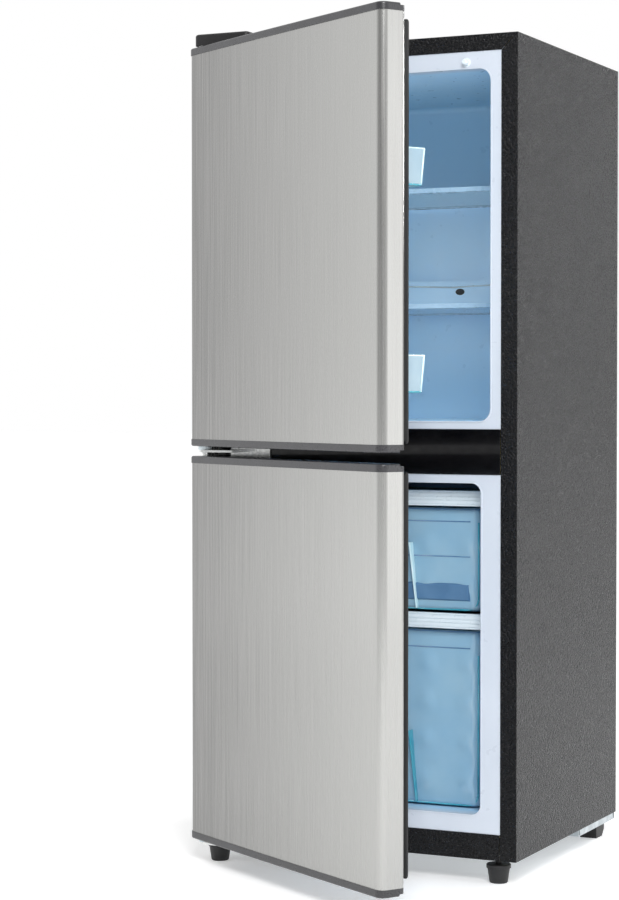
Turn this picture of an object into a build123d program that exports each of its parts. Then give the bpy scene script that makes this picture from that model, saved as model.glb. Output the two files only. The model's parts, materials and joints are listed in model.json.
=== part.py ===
from build123d import *
import math
import os

os.makedirs("parts", exist_ok=True)

# Two-door refrigerator with a fresh-food space over a freezer, in millimetres.
# +Z is up, the front faces -Y, and the hinges are on the left, at -X.
# The doors rest ajar. The origin is on the floor, under the middle of the whole object.
# Each piece is drawn in cabinet measures: x from the left side, y back from the front
# plane, z up from the underside of the cabinet. A door piece is drawn shut, in the same
# measures, on planes that are already swung to the rest angle.

# ---------------------------------------------------------------- driving dimensions
cabinet_width = 450.0
cabinet_height = 1050.0
cabinet_depth = 400.0
foot_height = 31.0
door_rest_angle = 31.5

# sheet metal and rails
wrap_sheet = 1.0
side_flange = 22.0
top_flange = 21.0
mitre_gap = 0.6
rail_sheet = 1.2
bottom_rail_height = 33.0
bottom_rail_depth = 36.0
centre_rail_low = 491.5
centre_rail_height = 58.0
centre_rail_depth = 16.0
rail_side_gap = 1.0
back_sheet = 1.0
cut_over = 1.0

# machine bay at the bottom of the back
bay_depth = 160.0
bay_height = 195.0
pan_sheet = 1.0

# inner liners
liner_sheet = 1.5
liner_tuck = 3.0
liner_corner = 16.0
liner_back_corner = 9.0
freezer_corner = 13.0
fridge_inset = 36.5
fridge_floor_wall = 10.0
fridge_roof_wall = 43.0
fridge_back_wall = 50.0
freezer_inset = 49.0
freezer_floor_wall = 23.5
freezer_roof_wall = 11.0
freezer_back_wall = 78.0
bay_insulation = 32.0
gutter_rise = 203.5
gutter_drop = 7.4
gutter_depth = 18.0
gutter_end_inset = 4.0
drain_offset = 12.5
drain_radius = 6.0
drain_wall = 1.5
drain_below_bay = 14.0

# doors
door_side_overhang = 1.0
door_front = 44.0
door_back = 8.3
door_bow = 1.4
door_corner = 10.0
door_back_corner = 6.0
door_split_rise = 20.5
door_split_gap = 13.0
door_top_over = 3.0
door_bottom_over = 0.0
skin_sheet = 0.8
skin_return = 9.0
cap_height = 9.5
cap_overhang = 1.0
cap_step_depth = 9.0
cap_step_height = 3.0
cap_plug_height = 6.0
cap_edge = 2.5
door_liner_sheet = 1.5
gasket_width = 14.0
gasket_gap = 0.4
gasket_face = 3.2
gasket_waist = 2.0
gasket_corner = 4.5
gasket_right_inset = 5.0
gasket_top_inset = 17.0
gasket_split_inset = 10.0
gasket_bottom_inset = 18.0

# raised panel of the lower door, and the dyke and bins of the upper door
panel_inset = 12.0
panel_rise = 3.0
panel_edge = 2.0
dyke_reach = 24.0
dyke_wide = 12.0
dyke_side_clearance = 9.5
dyke_low_inset = 35.0
dyke_high_inset = 30.0
dyke_fillet = 4.0
bin_height = 46.0
bin_reach = 62.0
bin_slope = 5.0
bin_corner = 5.0
bin_wall = 2.4
bin_clearance = 0.5
bin_side_clearance = 0.6
bin_first_rise = 1.5
bin_pitch = 251.0
bin_lug_reach = 6.0
bin_lug_height = 4.0
bin_lug_clearance = 0.4

# hinges
hinge_x = 20.0
hinge_y = -32.0
hinge_plate = 3.2
pin_radius = 4.0
pin_clearance = 0.05
pin_engagement = 13.0
bush_radius = 7.0
bush_flange = 2.0
bush_end_wall = 2.0
tongue_half_width = 8.0
hinge_lift = 2.0
bottom_hinge_drop = 3.0
hinge_running_gap = 0.3
top_plate_front = 4.0
top_plate_back = 36.0
top_plate_reach = 78.0
middle_plate_left = 44.0
middle_plate_right = 102.0
middle_plate_half = 13.0
middle_arm_reach = 64.0
bottom_plate_left = 38.0
bottom_plate_right = 88.0
bottom_plate_high = 15.0
bottom_arm_reach = 60.0
screw_radius = 2.0
screw_head_radius = 4.2
screw_head_height = 2.4
screw_length = 12.0
screw_slot_width = 1.0
screw_slot_depth = 1.2
cover_wall = 1.8
cover_roof = 3.8
cover_clearance = 0.6
cover_height = 20.0
cover_width = 80.0
cover_back = 40.0
cover_corner = 6.0
cover_edge = 3.5

# feet
foot_top_radius = 15.8
foot_bottom_radius = 11.8
foot_collar = 5.0
foot_top_drop = 6.8
foot_flutes = 16
foot_flute_radius = 1.6
stud_radius = 4.0
stud_clearance = 0.05
left_foot_x = 30.0
left_foot_y = -9.0
right_foot_inset = 31.0
right_foot_y = 19.0
stud_short = 8.0
rear_foot_inset = 12.0
rear_foot_back = 16.0
rear_foot_width = 24.0
rear_foot_length = 34.0
rear_foot_chamfer = 9.0

# fresh-food shelves
shelf_front = 76.0
shelf_back_gap = 6.0
shelf_glass = 4.0
shelf_trim_height = 6.0
shelf_trim_depth = 13.0
shelf_trim_hold = 4.0
shelf_clearance = 1.2
rib_width = 5.0
rib_height = 4.0
rib_first_rise = 71.5
rib_pitch = 76.0
rib_count = 4
rib_front_gap = 14.0
rib_back_gap = 10.0

# freezer shelves and drawers
evaporator_step_rise = 63.5
evaporator_roof_gap = 31.0
evaporator_trim_height = 20.0
evaporator_trim_depth = 8.0
evaporator_trim_front = 26.0
evaporator_trim_edge = 1.5
evaporator_groove_pitch = 5.0
evaporator_groove_width = 1.4
evaporator_groove_depth = 0.9
evaporator_plate = 1.6
evaporator_back_gap = 20.0
evaporator_tube_radius = 4.0
evaporator_tube_sink = 0.4
evaporator_tube_inset = 26.0
evaporator_tube_margin = 30.0
evaporator_tube_front = 18.0
evaporator_pitch = 44.0
evaporator_clearance = 1.0
ledge_width = 8.0
drawer_wall = 2.4
drawer_front = 36.0
drawer_side_clearance = 13.0
drawer_back_clearance = 6.0
drawer_gap = 2.0
drawer_corner = 14.0
drawer_floor_edge = 6.0
drawer_head_gap = 3.0
grip_side_inset = 18.0
grip_depth = 12.0
grip_height = 18.0

# thermostat, lamp and door switch
thermostat_roof_gap = 89.0
thermostat_height = 58.0
thermostat_corner = 5.0
thermostat_half = 18.0
thermostat_front = 120.0
thermostat_length = 120.0
thermostat_reach = 30.0
thermostat_wall = 2.0
knob_radius = 15.0
knob_height = 9.0
knob_shaft_radius = 4.0
knob_place = 0.72
knob_grips = 24
knob_grip_radius = 0.9
window_margin = 10.0
window_knob_gap = 14.0
window_height_margin = 9.0
window_corner = 4.0
window_clearance = 0.1
window_rib_pitch = 4.0
window_rib_width = 1.2
window_rib_height = 0.8
lamp_radius = 10.0
lamp_base_radius = 6.0
switch_side_inset = 70.0
switch_top_inset = 34.5
switch_reach = 7.6
switch_radius = 3.5
switch_travel = 4.0
switch_body_depth = 18.0
switch_body_radius = 6.0
switch_end_wall = 2.0
switch_tip = 1.5

# condenser, compressor and pipes
condenser_stand_off = 18.0
condenser_tube_radius = 2.4
condenser_pitch = 46.0
condenser_rise = 50.0
condenser_top_inset = 150.0
condenser_inset = 42.0
condenser_bend = 22.0
drop_left_inset = 60.0
drop_right_inset = 22.0
wire_radius = 0.8
wire_pitch = 15.0
wire_gap = 0.05
wire_margin = 20.0
wire_overrun = 8.0
bracket_half_width = 5.0
bracket_half_height = 9.0
bracket_cap = 5.0
compressor_x = 205.0
compressor_half_width = 84.0
compressor_half_depth = 60.0
compressor_height = 128.0
compressor_plate = 3.0
can_inset = 8.0
can_dome = 24.0
can_seam = 3.5
base_drop = 9.0
base_sheet = 1.5
base_front_gap = 2.0
base_back_gap = 4.0
base_ear_height = 16.0
bolt_inset = 18.0
bolt_head_radius = 6.5
bolt_head_height = 2.5
bolt_nut_radius = 7.0
bolt_nut_height = 5.5
bolt_over = 8.0
grommet_radius = 10.0
grommet_height = 17.5
grommet_waist = 5.0
pipe_radius = 3.2
capillary_radius = 1.4
cord_bore_radius = 3.75
gland_radius = 8.5
gland_neck_radius = 6.5
gland_flange = 2.0
gland_nose = 4.0
terminal_overlap = 26.0
terminal_reach = 32.0
terminal_half_depth = 28.0
terminal_rise = 18.0
terminal_height = 46.0
terminal_wall = 2.0
gland_inset = 16.0
tray_length = 150.0
tray_depth = 96.0
tray_wall = 2.0
tray_corner = 12.0
tray_shift = 8.0
tray_height = 16.0
drier_radius = 9.0
drier_neck = 2.5
drier_taper = 12.0
drier_rise = 62.0
drier_length = 70.0
drier_back_gap = 26.0
pipe_spread = 15.0
discharge_z = 112.0
suction_z = 92.0
suction_reach = 26.0
process_z = 60.0
process_reach = 34.0
capillary_reach = 60.0

# ---------------------------------------------------------------- places worked out
door_left = -door_side_overhang
door_right = cabinet_width + door_side_overhang
door_top = cabinet_height + door_top_over
door_bottom = door_bottom_over
door_split_low = centre_rail_low + door_split_rise
door_split_high = door_split_low + door_split_gap
upper = (door_split_high, door_top)
lower = (door_bottom, door_split_low)
rest = math.radians(door_rest_angle)

condenser_y = cabinet_depth + condenser_stand_off
rear_extent = condenser_y + condenser_tube_radius + 2 * wire_radius
reach_x = door_right + cap_overhang - door_corner - hinge_x
reach_y = door_corner - door_front - cap_overhang - hinge_y
front_extent = hinge_y - math.sin(rest) * reach_x + math.cos(rest) * reach_y - door_corner

left_x = -cabinet_width / 2
front_y = -(rear_extent + front_extent) / 2
base_z = foot_height

cabinet = Plane(origin=(left_x, front_y, base_z))
swing_x = hinge_x - math.cos(rest) * hinge_x - math.sin(rest) * hinge_y
swing_y = hinge_y + math.sin(rest) * hinge_x - math.cos(rest) * hinge_y
door_along = (math.cos(rest), -math.sin(rest), 0)
door_outward = (-math.sin(rest), -math.cos(rest), 0)
door = Plane(origin=(left_x + swing_x, front_y + swing_y, base_z), x_dir=door_along, z_dir=(0, 0, 1))

bay_front = cabinet_depth - bay_depth
fridge_right = cabinet_width - fridge_inset
freezer_right = cabinet_width - freezer_inset
centre_rail_high = centre_rail_low + centre_rail_height
fridge_low = centre_rail_high + fridge_floor_wall
fridge_high = cabinet_height - fridge_roof_wall
fridge_depth = cabinet_depth - fridge_back_wall
freezer_low = bottom_rail_height + freezer_floor_wall
freezer_high = centre_rail_low - freezer_roof_wall
freezer_depth = cabinet_depth - freezer_back_wall
freezer_step_high = bay_height + bay_insulation
freezer_step_depth = bay_front - bay_insulation
gutter_height = fridge_low + gutter_rise
drain_x = cabinet_width / 2 + drain_offset
drain_y = fridge_depth - gutter_depth / 2
rib_levels = [fridge_low + rib_first_rise + rib_pitch * rib for rib in range(rib_count)]
shelf_levels = rib_levels[1::2]
evaporator_levels = (freezer_step_high + evaporator_step_rise, freezer_high - evaporator_roof_gap)
right_foot_x = cabinet_width - right_foot_inset
switch_x = cabinet_width - switch_side_inset
switch_z = cabinet_height - switch_top_inset


def level(height):
    """Plan of the cabinet at a height, x to the right and y to the back."""
    return Plane(origin=(left_x, front_y, base_z + height), x_dir=(1, 0, 0), z_dir=(0, 0, 1))


def facing(depth):
    """Front view of the cabinet at a depth, looking back, and growing to the front."""
    return Plane(origin=(left_x, front_y + depth, base_z), x_dir=(1, 0, 0), z_dir=(0, -1, 0))


def side(distance):
    """Side view at a distance from the left side, y to the back and z up."""
    return Plane(origin=(left_x + distance, front_y, base_z), x_dir=(0, 1, 0), z_dir=(1, 0, 0))


def door_level(height):
    """Plan of a door at a height, drawn as if shut."""
    return door.offset(height)


def door_facing(depth):
    """Front view of a door at a depth, drawn as if shut, and growing to the front."""
    shift = Vector(*door_outward) * -depth
    return Plane(origin=door.origin + shift, x_dir=door_along, z_dir=door_outward)


def brick(low, high, mode=Mode.ADD):
    """A block between two corners, in the measures of the open part's own plane."""
    middle = tuple((a + b) / 2 for a, b in zip(low, high))
    with Locations(middle):
        Box(high[0] - low[0], high[1] - low[1], high[2] - low[2], mode=mode)


def post(centre, low, high, radius, mode=Mode.ADD):
    """An upright round bar or bore between two heights."""
    with Locations((centre[0], centre[1], (low + high) / 2)):
        Cylinder(radius, high - low, mode=mode)


def save(piece, label):
    """Name a finished piece and write it."""
    piece.part.label = label
    export_step(piece.part, f"parts/{label}.step")


# ---------------------------------------------------------------- painted steel body
plate_middle = (top_plate_front + top_plate_back) / 2
top_screws = (
    (top_plate_reach - 32, top_plate_front + 8),
    (top_plate_reach - 32, top_plate_back - 8),
    (top_plate_reach - 10, plate_middle),
)
with BuildPart(cabinet) as cabinet_wrap:
    brick((0, 0, 0), (cabinet_width, cabinet_depth, cabinet_height))
    brick(
        (wrap_sheet, wrap_sheet, -cut_over),
        (cabinet_width - wrap_sheet, cabinet_depth + cut_over, cabinet_height - wrap_sheet),
        mode=Mode.SUBTRACT,
    )
    brick(
        (side_flange, -cut_over, -cut_over),
        (cabinet_width - side_flange, wrap_sheet + cut_over, cabinet_height - top_flange),
        mode=Mode.SUBTRACT,
    )
    # mitred joints of the front flange
    for mitre_x, turn in ((side_flange, 1), (cabinet_width - side_flange, -1)):
        with BuildSketch(facing(wrap_sheet)):
            with Locations(Location((mitre_x, cabinet_height - top_flange), 90 + turn * 45)):
                Rectangle(side_flange * 2.4, mitre_gap)
        extrude(amount=wrap_sheet, mode=Mode.SUBTRACT)
    # clearance holes for the screws of the upper hinge
    for spot in top_screws:
        post(spot, cabinet_height - wrap_sheet, cabinet_height, screw_radius, mode=Mode.SUBTRACT)
save(cabinet_wrap, "cabinet_wrap")

with BuildPart(cabinet) as back_panel:
    brick(
        (wrap_sheet, cabinet_depth - back_sheet, bay_height),
        (cabinet_width - wrap_sheet, cabinet_depth, cabinet_height - wrap_sheet),
    )
save(back_panel, "back_panel")

# ---------------------------------------------------------------- rails and base
middle_low = (door_split_low + door_split_high - hinge_plate) / 2
middle_high = middle_low + hinge_plate
middle_screw_z = (middle_high + (door_split_low + door_split_high) / 2 + middle_plate_half) / 2
middle_screws = ((middle_plate_left + 10, middle_screw_z), (middle_plate_right - 10, middle_screw_z))
bottom_screws = (
    (bottom_plate_left + 12, bottom_plate_high / 2),
    (bottom_plate_right - 12, bottom_plate_high / 2),
)
rail_left = side_flange + rail_side_gap
rail_right = cabinet_width - rail_left
pan_left, pan_right = wrap_sheet, cabinet_width - wrap_sheet


with BuildPart(cabinet) as centre_rail:
    brick((rail_left, 0, centre_rail_low), (rail_right, centre_rail_depth, centre_rail_high))
    brick(
        (rail_left - cut_over, rail_sheet, centre_rail_low + rail_sheet),
        (rail_right + cut_over, centre_rail_depth + cut_over, centre_rail_high - rail_sheet),
        mode=Mode.SUBTRACT,
    )
    with BuildSketch(facing(rail_sheet)):
        with Locations(*middle_screws):
            Circle(screw_radius)
    extrude(amount=rail_sheet, mode=Mode.SUBTRACT)
save(centre_rail, "centre_rail")

with BuildPart(cabinet) as bottom_rail:
    brick((rail_left, 0, 0), (rail_right, bottom_rail_depth, bottom_rail_height))
    brick(
        (rail_left - cut_over, rail_sheet, rail_sheet),
        (rail_right + cut_over, bottom_rail_depth + cut_over, bottom_rail_height - rail_sheet),
        mode=Mode.SUBTRACT,
    )
    post((right_foot_x, right_foot_y), 0, rail_sheet, stud_radius + stud_clearance, mode=Mode.SUBTRACT)
    with BuildSketch(facing(rail_sheet)):
        with Locations(*bottom_screws):
            Circle(screw_radius)
    extrude(amount=rail_sheet, mode=Mode.SUBTRACT)
save(bottom_rail, "bottom_rail")

with BuildPart(cabinet) as base_pan:
    brick((pan_left, bottom_rail_depth, 0), (pan_right, bay_front, pan_sheet))
    brick((pan_left, bay_front - pan_sheet, 0), (pan_right, bay_front, bay_height))
    brick((pan_left, bay_front - pan_sheet, bay_height - pan_sheet), (pan_right, cabinet_depth, bay_height))
    drain_hole = drain_radius + drain_wall
    post((drain_x, drain_y), bay_height - pan_sheet, bay_height, drain_hole, mode=Mode.SUBTRACT)
save(base_pan, "base_pan")


# ---------------------------------------------------------------- inner liners
def rounded_space(left, right, low, high, depth, grow):
    """A drawn plastic space, open at the front, with soft corners all round its back."""
    with BuildPart() as space:
        with BuildSketch(facing(0)):
            with Locations(((left + right) / 2, (low + high) / 2)):
                RectangleRounded(right - left + 2 * grow, high - low + 2 * grow, liner_corner + grow)
        extrude(amount=-(depth + grow))
        back = space.faces().sort_by(Axis.Y)[-1]
        fillet(back.edges(), liner_back_corner + grow)
    return space.part


def fridge_space(grow):
    """The fresh-food space: its back wall steps forward under a shallow V of gutter."""
    left, right, low = fridge_inset, fridge_right, fridge_low
    beyond = 2 * liner_corner + gutter_depth
    whole = rounded_space(left, right, low, fridge_high, fridge_depth, grow)
    with BuildPart() as step:
        with BuildSketch(facing(fridge_depth - gutter_depth + grow)):
            with BuildLine():
                Polyline(
                    (left - beyond, low - beyond),
                    (right + beyond, low - beyond),
                    (right + beyond, gutter_height - grow),
                    (right - gutter_end_inset, gutter_height - grow),
                    (cabinet_width / 2, gutter_height - gutter_drop - grow),
                    (left + gutter_end_inset, gutter_height - grow),
                    (left - beyond, gutter_height - grow),
                    close=True,
                )
            make_face()
        extrude(amount=-beyond)
    return cabinet.to_local_coords(whole - step.part)


def freezer_space(grow):
    """The freezer space: shallower at the bottom, in front of the machine bay."""
    low, high = freezer_low - grow, freezer_high + grow
    with BuildPart() as space:
        with BuildSketch(side(freezer_inset - grow)):
            with BuildLine():
                Polyline(
                    (0, low),
                    (freezer_step_depth + grow, low),
                    (freezer_step_depth + grow, freezer_step_high - grow),
                    (freezer_depth + grow, freezer_step_high - grow),
                    (freezer_depth + grow, high),
                    (0, high),
                    close=True,
                )
            make_face()
        extrude(amount=freezer_right - freezer_inset + 2 * grow)
        inner_edges = space.edges().filter_by(lambda edge: edge.center().Y > front_y + 1)
        fillet(inner_edges, freezer_corner + grow)
    return cabinet.to_local_coords(space.part)


with BuildPart(cabinet) as fridge_liner:
    add(fridge_space(liner_sheet))
    with BuildSketch(facing(wrap_sheet)):
        low, high = centre_rail_high, cabinet_height - top_flange + liner_tuck
        with Locations((cabinet_width / 2, (low + high) / 2)):
            Rectangle(cabinet_width - 2 * (side_flange - liner_tuck), high - low)
    extrude(amount=-liner_sheet)
    add(fridge_space(0), mode=Mode.SUBTRACT)
    # ledges that carry the shelves
    for rib_level in rib_levels:
        for start in (fridge_inset, fridge_right - rib_width):
            brick(
                (start, shelf_front - rib_front_gap, rib_level - rib_height),
                (start + rib_width, fridge_depth - gutter_depth - rib_back_gap, rib_level),
            )
    post((drain_x, drain_y), fridge_low, gutter_height, drain_radius, mode=Mode.SUBTRACT)
    with BuildSketch(facing(0)):
        with Locations((switch_x, switch_z)):
            Circle(switch_body_radius)
    extrude(amount=-(wrap_sheet + liner_sheet), mode=Mode.SUBTRACT)
save(fridge_liner, "fridge_liner")

with BuildPart(cabinet) as freezer_liner:
    add(freezer_space(liner_sheet))
    with BuildSketch(facing(wrap_sheet)):
        low, high = bottom_rail_height, centre_rail_low
        with Locations((cabinet_width / 2, (low + high) / 2)):
            Rectangle(cabinet_width - 2 * (side_flange - liner_tuck), high - low)
    extrude(amount=-liner_sheet)
    add(freezer_space(0), mode=Mode.SUBTRACT)
    # ledges that carry the freezer plates
    for plate_level in evaporator_levels:
        ledge_high = plate_level + evaporator_trim_height / 2
        for start in (freezer_inset, freezer_right - ledge_width):
            brick(
                (start, evaporator_trim_front + evaporator_trim_depth, ledge_high - rib_height),
                (start + ledge_width, freezer_depth - evaporator_back_gap, ledge_high),
            )
save(freezer_liner, "freezer_liner")

drain_low = bay_height - drain_below_bay
drain_high = gutter_height - gutter_drop - liner_sheet
with BuildPart(cabinet) as drain_tube:
    post((drain_x, drain_y), drain_low, drain_high, drain_radius + drain_wall)
    post((drain_x, drain_y), drain_low, drain_high, drain_radius, mode=Mode.SUBTRACT)
save(drain_tube, "drain_tube")

# ---------------------------------------------------------------- insulation
with BuildPart(cabinet) as cabinet_foam:
    brick(
        (wrap_sheet, wrap_sheet + liner_sheet, pan_sheet),
        (cabinet_width - wrap_sheet, cabinet_depth - back_sheet, cabinet_height - wrap_sheet),
    )
    add(fridge_space(liner_sheet), mode=Mode.SUBTRACT)
    add(freezer_space(liner_sheet), mode=Mode.SUBTRACT)
    brick((0, bay_front - pan_sheet, 0), (cabinet_width, cabinet_depth, bay_height), mode=Mode.SUBTRACT)
    brick((0, 0, 0), (cabinet_width, bottom_rail_depth, bottom_rail_height), mode=Mode.SUBTRACT)
    brick(
        (0, 0, centre_rail_low),
        (cabinet_width, centre_rail_depth, centre_rail_high),
        mode=Mode.SUBTRACT,
    )
    post((drain_x, drain_y), 0, gutter_height, drain_radius + drain_wall, mode=Mode.SUBTRACT)
    with BuildSketch(facing(0)):
        with Locations((switch_x, switch_z)):
            Circle(switch_body_radius)
    extrude(amount=-(wrap_sheet + liner_sheet + switch_body_depth), mode=Mode.SUBTRACT)
    # pocket for the screws of the upper hinge
    brick(
        (top_screws[0][0] - 10, top_plate_front, cabinet_height - screw_length),
        (top_plate_reach, top_plate_back, cabinet_height),
        mode=Mode.SUBTRACT,
    )
save(cabinet_foam, "cabinet_foam")

# ---------------------------------------------------------------- hinges on the cabinet
tongue_low = door_top + hinge_lift
tongue_reach = hinge_y - tongue_half_width

hinge_spot = (hinge_x, hinge_y)
tongue_left, tongue_right = hinge_x - tongue_half_width, hinge_x + tongue_half_width
top = cabinet_height
tongue_high = tongue_low + hinge_plate
with BuildPart(cabinet) as top_hinge:
    brick((tongue_left, top_plate_front, top), (top_plate_reach, top_plate_back, top + hinge_plate))
    brick((tongue_left, top_plate_front, top), (tongue_right, top_plate_front + hinge_plate, tongue_high))
    brick((tongue_left, hinge_y, tongue_low), (tongue_right, top_plate_front + hinge_plate, tongue_high))
    post(hinge_spot, tongue_low, tongue_high, tongue_half_width)
    post(hinge_spot, door_top - pin_engagement, tongue_high, pin_radius)
    for spot in top_screws:
        post(spot, top, top + hinge_plate, screw_radius, mode=Mode.SUBTRACT)
save(top_hinge, "top_hinge")

cover_left = tongue_left - cover_wall - cover_clearance
cover_right = cover_left + cover_width
cover_front = hinge_y - tongue_half_width - cover_wall - hinge_running_gap
cover_low = door_top + cover_wall
cover_high = top + cover_height
with BuildPart(cabinet) as top_hinge_cover:
    brick((cover_left, cover_front, cover_low), (cover_right, cover_back, cover_high))
    fillet(top_hinge_cover.edges().filter_by(Axis.Z), cover_corner)
    fillet(top_hinge_cover.faces().sort_by(Axis.Z)[-1].edges(), cover_edge)
    brick((cover_left, cover_clearance, top), (cover_right, cover_back, top + cover_height / 2))
    brick(
        (cover_left + cover_wall, cover_front + cover_wall, top - cut_over),
        (cover_right - cover_wall, cover_back - cover_wall, cover_high - cover_roof),
        mode=Mode.SUBTRACT,
    )
save(top_hinge_cover, "top_hinge_cover")

middle_z = (door_split_low + door_split_high) / 2
with BuildPart(cabinet) as middle_hinge:
    brick(
        (middle_plate_left, -hinge_plate, middle_z - middle_plate_half),
        (middle_plate_right, 0, middle_z + middle_plate_half),
    )
    brick((hinge_x, hinge_y - tongue_half_width, middle_low), (middle_arm_reach, 0, middle_high))
    brick((tongue_left, hinge_y, middle_low), (tongue_right, hinge_y / 2, middle_high))
    post(hinge_spot, middle_low, middle_high, tongue_half_width)
    post(hinge_spot, door_split_low - pin_engagement, door_split_high + pin_engagement, pin_radius)
    with BuildSketch(facing(0)):
        with Locations(*middle_screws):
            Circle(screw_radius)
    extrude(amount=hinge_plate, mode=Mode.SUBTRACT)
save(middle_hinge, "middle_hinge")

bottom_high = door_bottom - bottom_hinge_drop
bottom_low = bottom_high - hinge_plate
with BuildPart(cabinet) as bottom_hinge:
    brick((bottom_plate_left, -hinge_plate, bottom_low), (bottom_plate_right, 0, bottom_plate_high))
    brick((hinge_x, hinge_y - tongue_half_width, bottom_low), (bottom_arm_reach, 0, bottom_high))
    brick((tongue_left, hinge_y, bottom_low), (tongue_right, 0, bottom_high))
    post(hinge_spot, bottom_low, bottom_high, tongue_half_width)
    post(hinge_spot, bottom_low, door_bottom + pin_engagement, pin_radius)
    stud_bore = stud_radius + stud_clearance
    post((left_foot_x, left_foot_y), bottom_low, bottom_high, stud_bore, mode=Mode.SUBTRACT)
    with BuildSketch(facing(0)):
        with Locations(*bottom_screws):
            Circle(screw_radius)
    extrude(amount=hinge_plate, mode=Mode.SUBTRACT)
save(bottom_hinge, "bottom_hinge")

with BuildPart() as hinge_screws:
    drives = [facing(-hinge_plate) * Location((*spot, 0)) for spot in middle_screws + bottom_screws]
    drives += [level(cabinet_height + hinge_plate) * Location((*spot, 0)) for spot in top_screws]
    for drive in drives:
        with BuildSketch(Plane(drive)):
            Circle(screw_radius)
        extrude(amount=-screw_length)
        with BuildSketch(Plane(drive)):
            Circle(screw_head_radius)
        extrude(amount=screw_head_height)
        with BuildSketch(Plane(drive).offset(screw_head_height)):
            Rectangle(screw_head_radius * 1.4, screw_slot_width)
            Rectangle(screw_slot_width, screw_head_radius * 1.4)
        extrude(amount=-screw_slot_depth, mode=Mode.SUBTRACT)
save(hinge_screws, "hinge_screws")


# ---------------------------------------------------------------- feet
def front_foot(piece_name, x, y, stud_top):
    """A fluted levelling knob on a stud."""
    top = -foot_top_drop
    centre = (left_x + x, front_y + y, base_z)
    with BuildPart(cabinet) as foot:
        with BuildSketch(Plane(origin=centre, x_dir=(1, 0, 0), z_dir=(0, -1, 0))):
            with BuildLine():
                Polyline(
                    (0, -foot_height),
                    (foot_bottom_radius - 1, -foot_height),
                    (foot_bottom_radius, 1 - foot_height),
                    (foot_top_radius - 1.2, top - foot_collar),
                    (foot_top_radius, top - foot_collar),
                    (foot_top_radius, top - 0.8),
                    (foot_top_radius - 0.8, top),
                    (0, top),
                    close=True,
                )
            make_face()
        revolve(axis=Axis(centre, (0, 0, 1)))
        for turn in range(foot_flutes):
            angle = math.radians(360 / foot_flutes * turn)
            flute = (x + foot_top_radius * math.cos(angle), y + foot_top_radius * math.sin(angle))
            post(flute, 2 - foot_height, top - foot_collar, foot_flute_radius, mode=Mode.SUBTRACT)
        post((x, y), top - foot_collar, stud_top, stud_radius)
    save(foot, piece_name)


front_foot("front_foot_left", left_foot_x, left_foot_y, door_bottom - hinge_lift)
front_foot("front_foot_right", right_foot_x, right_foot_y, bottom_rail_height - stud_short)


# ---------------------------------------------------------------- doors
def door_outline(inset, back):
    """Plan of a door: a slightly bowed front, round front corners, and a straight back."""
    left, right = door_left + inset, door_right - inset
    front = -door_front + inset
    with BuildSketch() as plan:
        with BuildLine():
            ThreePointArc((left, front), ((left + right) / 2, front - door_bow), (right, front))
            Polyline((right, front), (right, back), (left, back), (left, front))
        make_face()
        fillet(plan.vertices().group_by(Axis.Y)[-1], max(door_back_corner - inset, 0.5))
        fillet(plan.vertices().group_by(Axis.Y)[0], max(door_corner - inset, 1.0))
    return plan.sketch


def door_skin(name, low, high):
    """A folded stainless sheet: the front, both sides and two short returns."""
    with BuildPart() as skin:
        with BuildSketch(door_level(low)):
            add(door_outline(0, -door_back))
        extrude(amount=high - low)
        with BuildSketch(door_level(low)):
            add(door_outline(skin_sheet, -door_back - skin_sheet))
            with Locations(((door_left + door_right) / 2, -door_back)):
                Rectangle(door_right - door_left - 2 * skin_return, 4 * skin_sheet)
        extrude(amount=high - low, mode=Mode.SUBTRACT)
    save(skin, name)


def door_cap(name, end, inward):
    """A moulded end cap: a rounded rim, a stepped back edge and a plug inside the skin."""
    rim = end + inward * cap_height
    with BuildPart() as cap:
        with BuildSketch(door_level(min(end, rim))):
            add(door_outline(-cap_overhang, -door_back))
        extrude(amount=cap_height)
        outer = cap.faces().sort_by(Axis.Z)[0 if inward > 0 else -1]
        fillet(outer.edges(), cap_edge)
        with BuildSketch(door_level(min(rim, rim + inward * cap_plug_height))):
            add(door_outline(skin_sheet, -door_back - skin_sheet))
        extrude(amount=cap_plug_height)
        # the back strip of the rim stands lower, behind a small shoulder
        with BuildSketch(door_level(end)):
            with Locations(((door_left + door_right) / 2, -door_back)):
                Rectangle(door_right - door_left + 4 * cap_overhang, 2 * cap_step_depth)
        extrude(amount=inward * cap_step_height, mode=Mode.SUBTRACT)
        with BuildSketch(door_level(end)):
            with Locations((hinge_x, hinge_y)):
                Circle(bush_radius)
        extrude(amount=inward * (cap_height + cap_plug_height), mode=Mode.SUBTRACT)
    save(cap, name)


def door_bushes(name, seat, low_end, high_end):
    """Nylon bushes for the two pins; the flange of the lower one stands on a hinge plate."""
    flange_low = seat + hinge_running_gap
    bore = pin_radius + pin_clearance
    pin_room = pin_engagement + hinge_running_gap
    with BuildPart(door) as bushes:
        post(hinge_spot, low_end, low_end + pin_room + bush_end_wall, bush_radius)
        post(hinge_spot, flange_low, low_end, bush_radius + bush_flange)
        post(hinge_spot, flange_low, low_end + pin_room, bore, mode=Mode.SUBTRACT)
        post(hinge_spot, high_end - pin_room - bush_end_wall, high_end, bush_radius)
        post(hinge_spot, high_end - pin_room, high_end, bore, mode=Mode.SUBTRACT)
    save(bushes, name)


def gasket_frame(low_inset, high_inset, low, high):
    """Edges of a door seal: left, right, low and high."""
    return hinge_x + 1, door_right - gasket_right_inset, low + low_inset, high - high_inset


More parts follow.
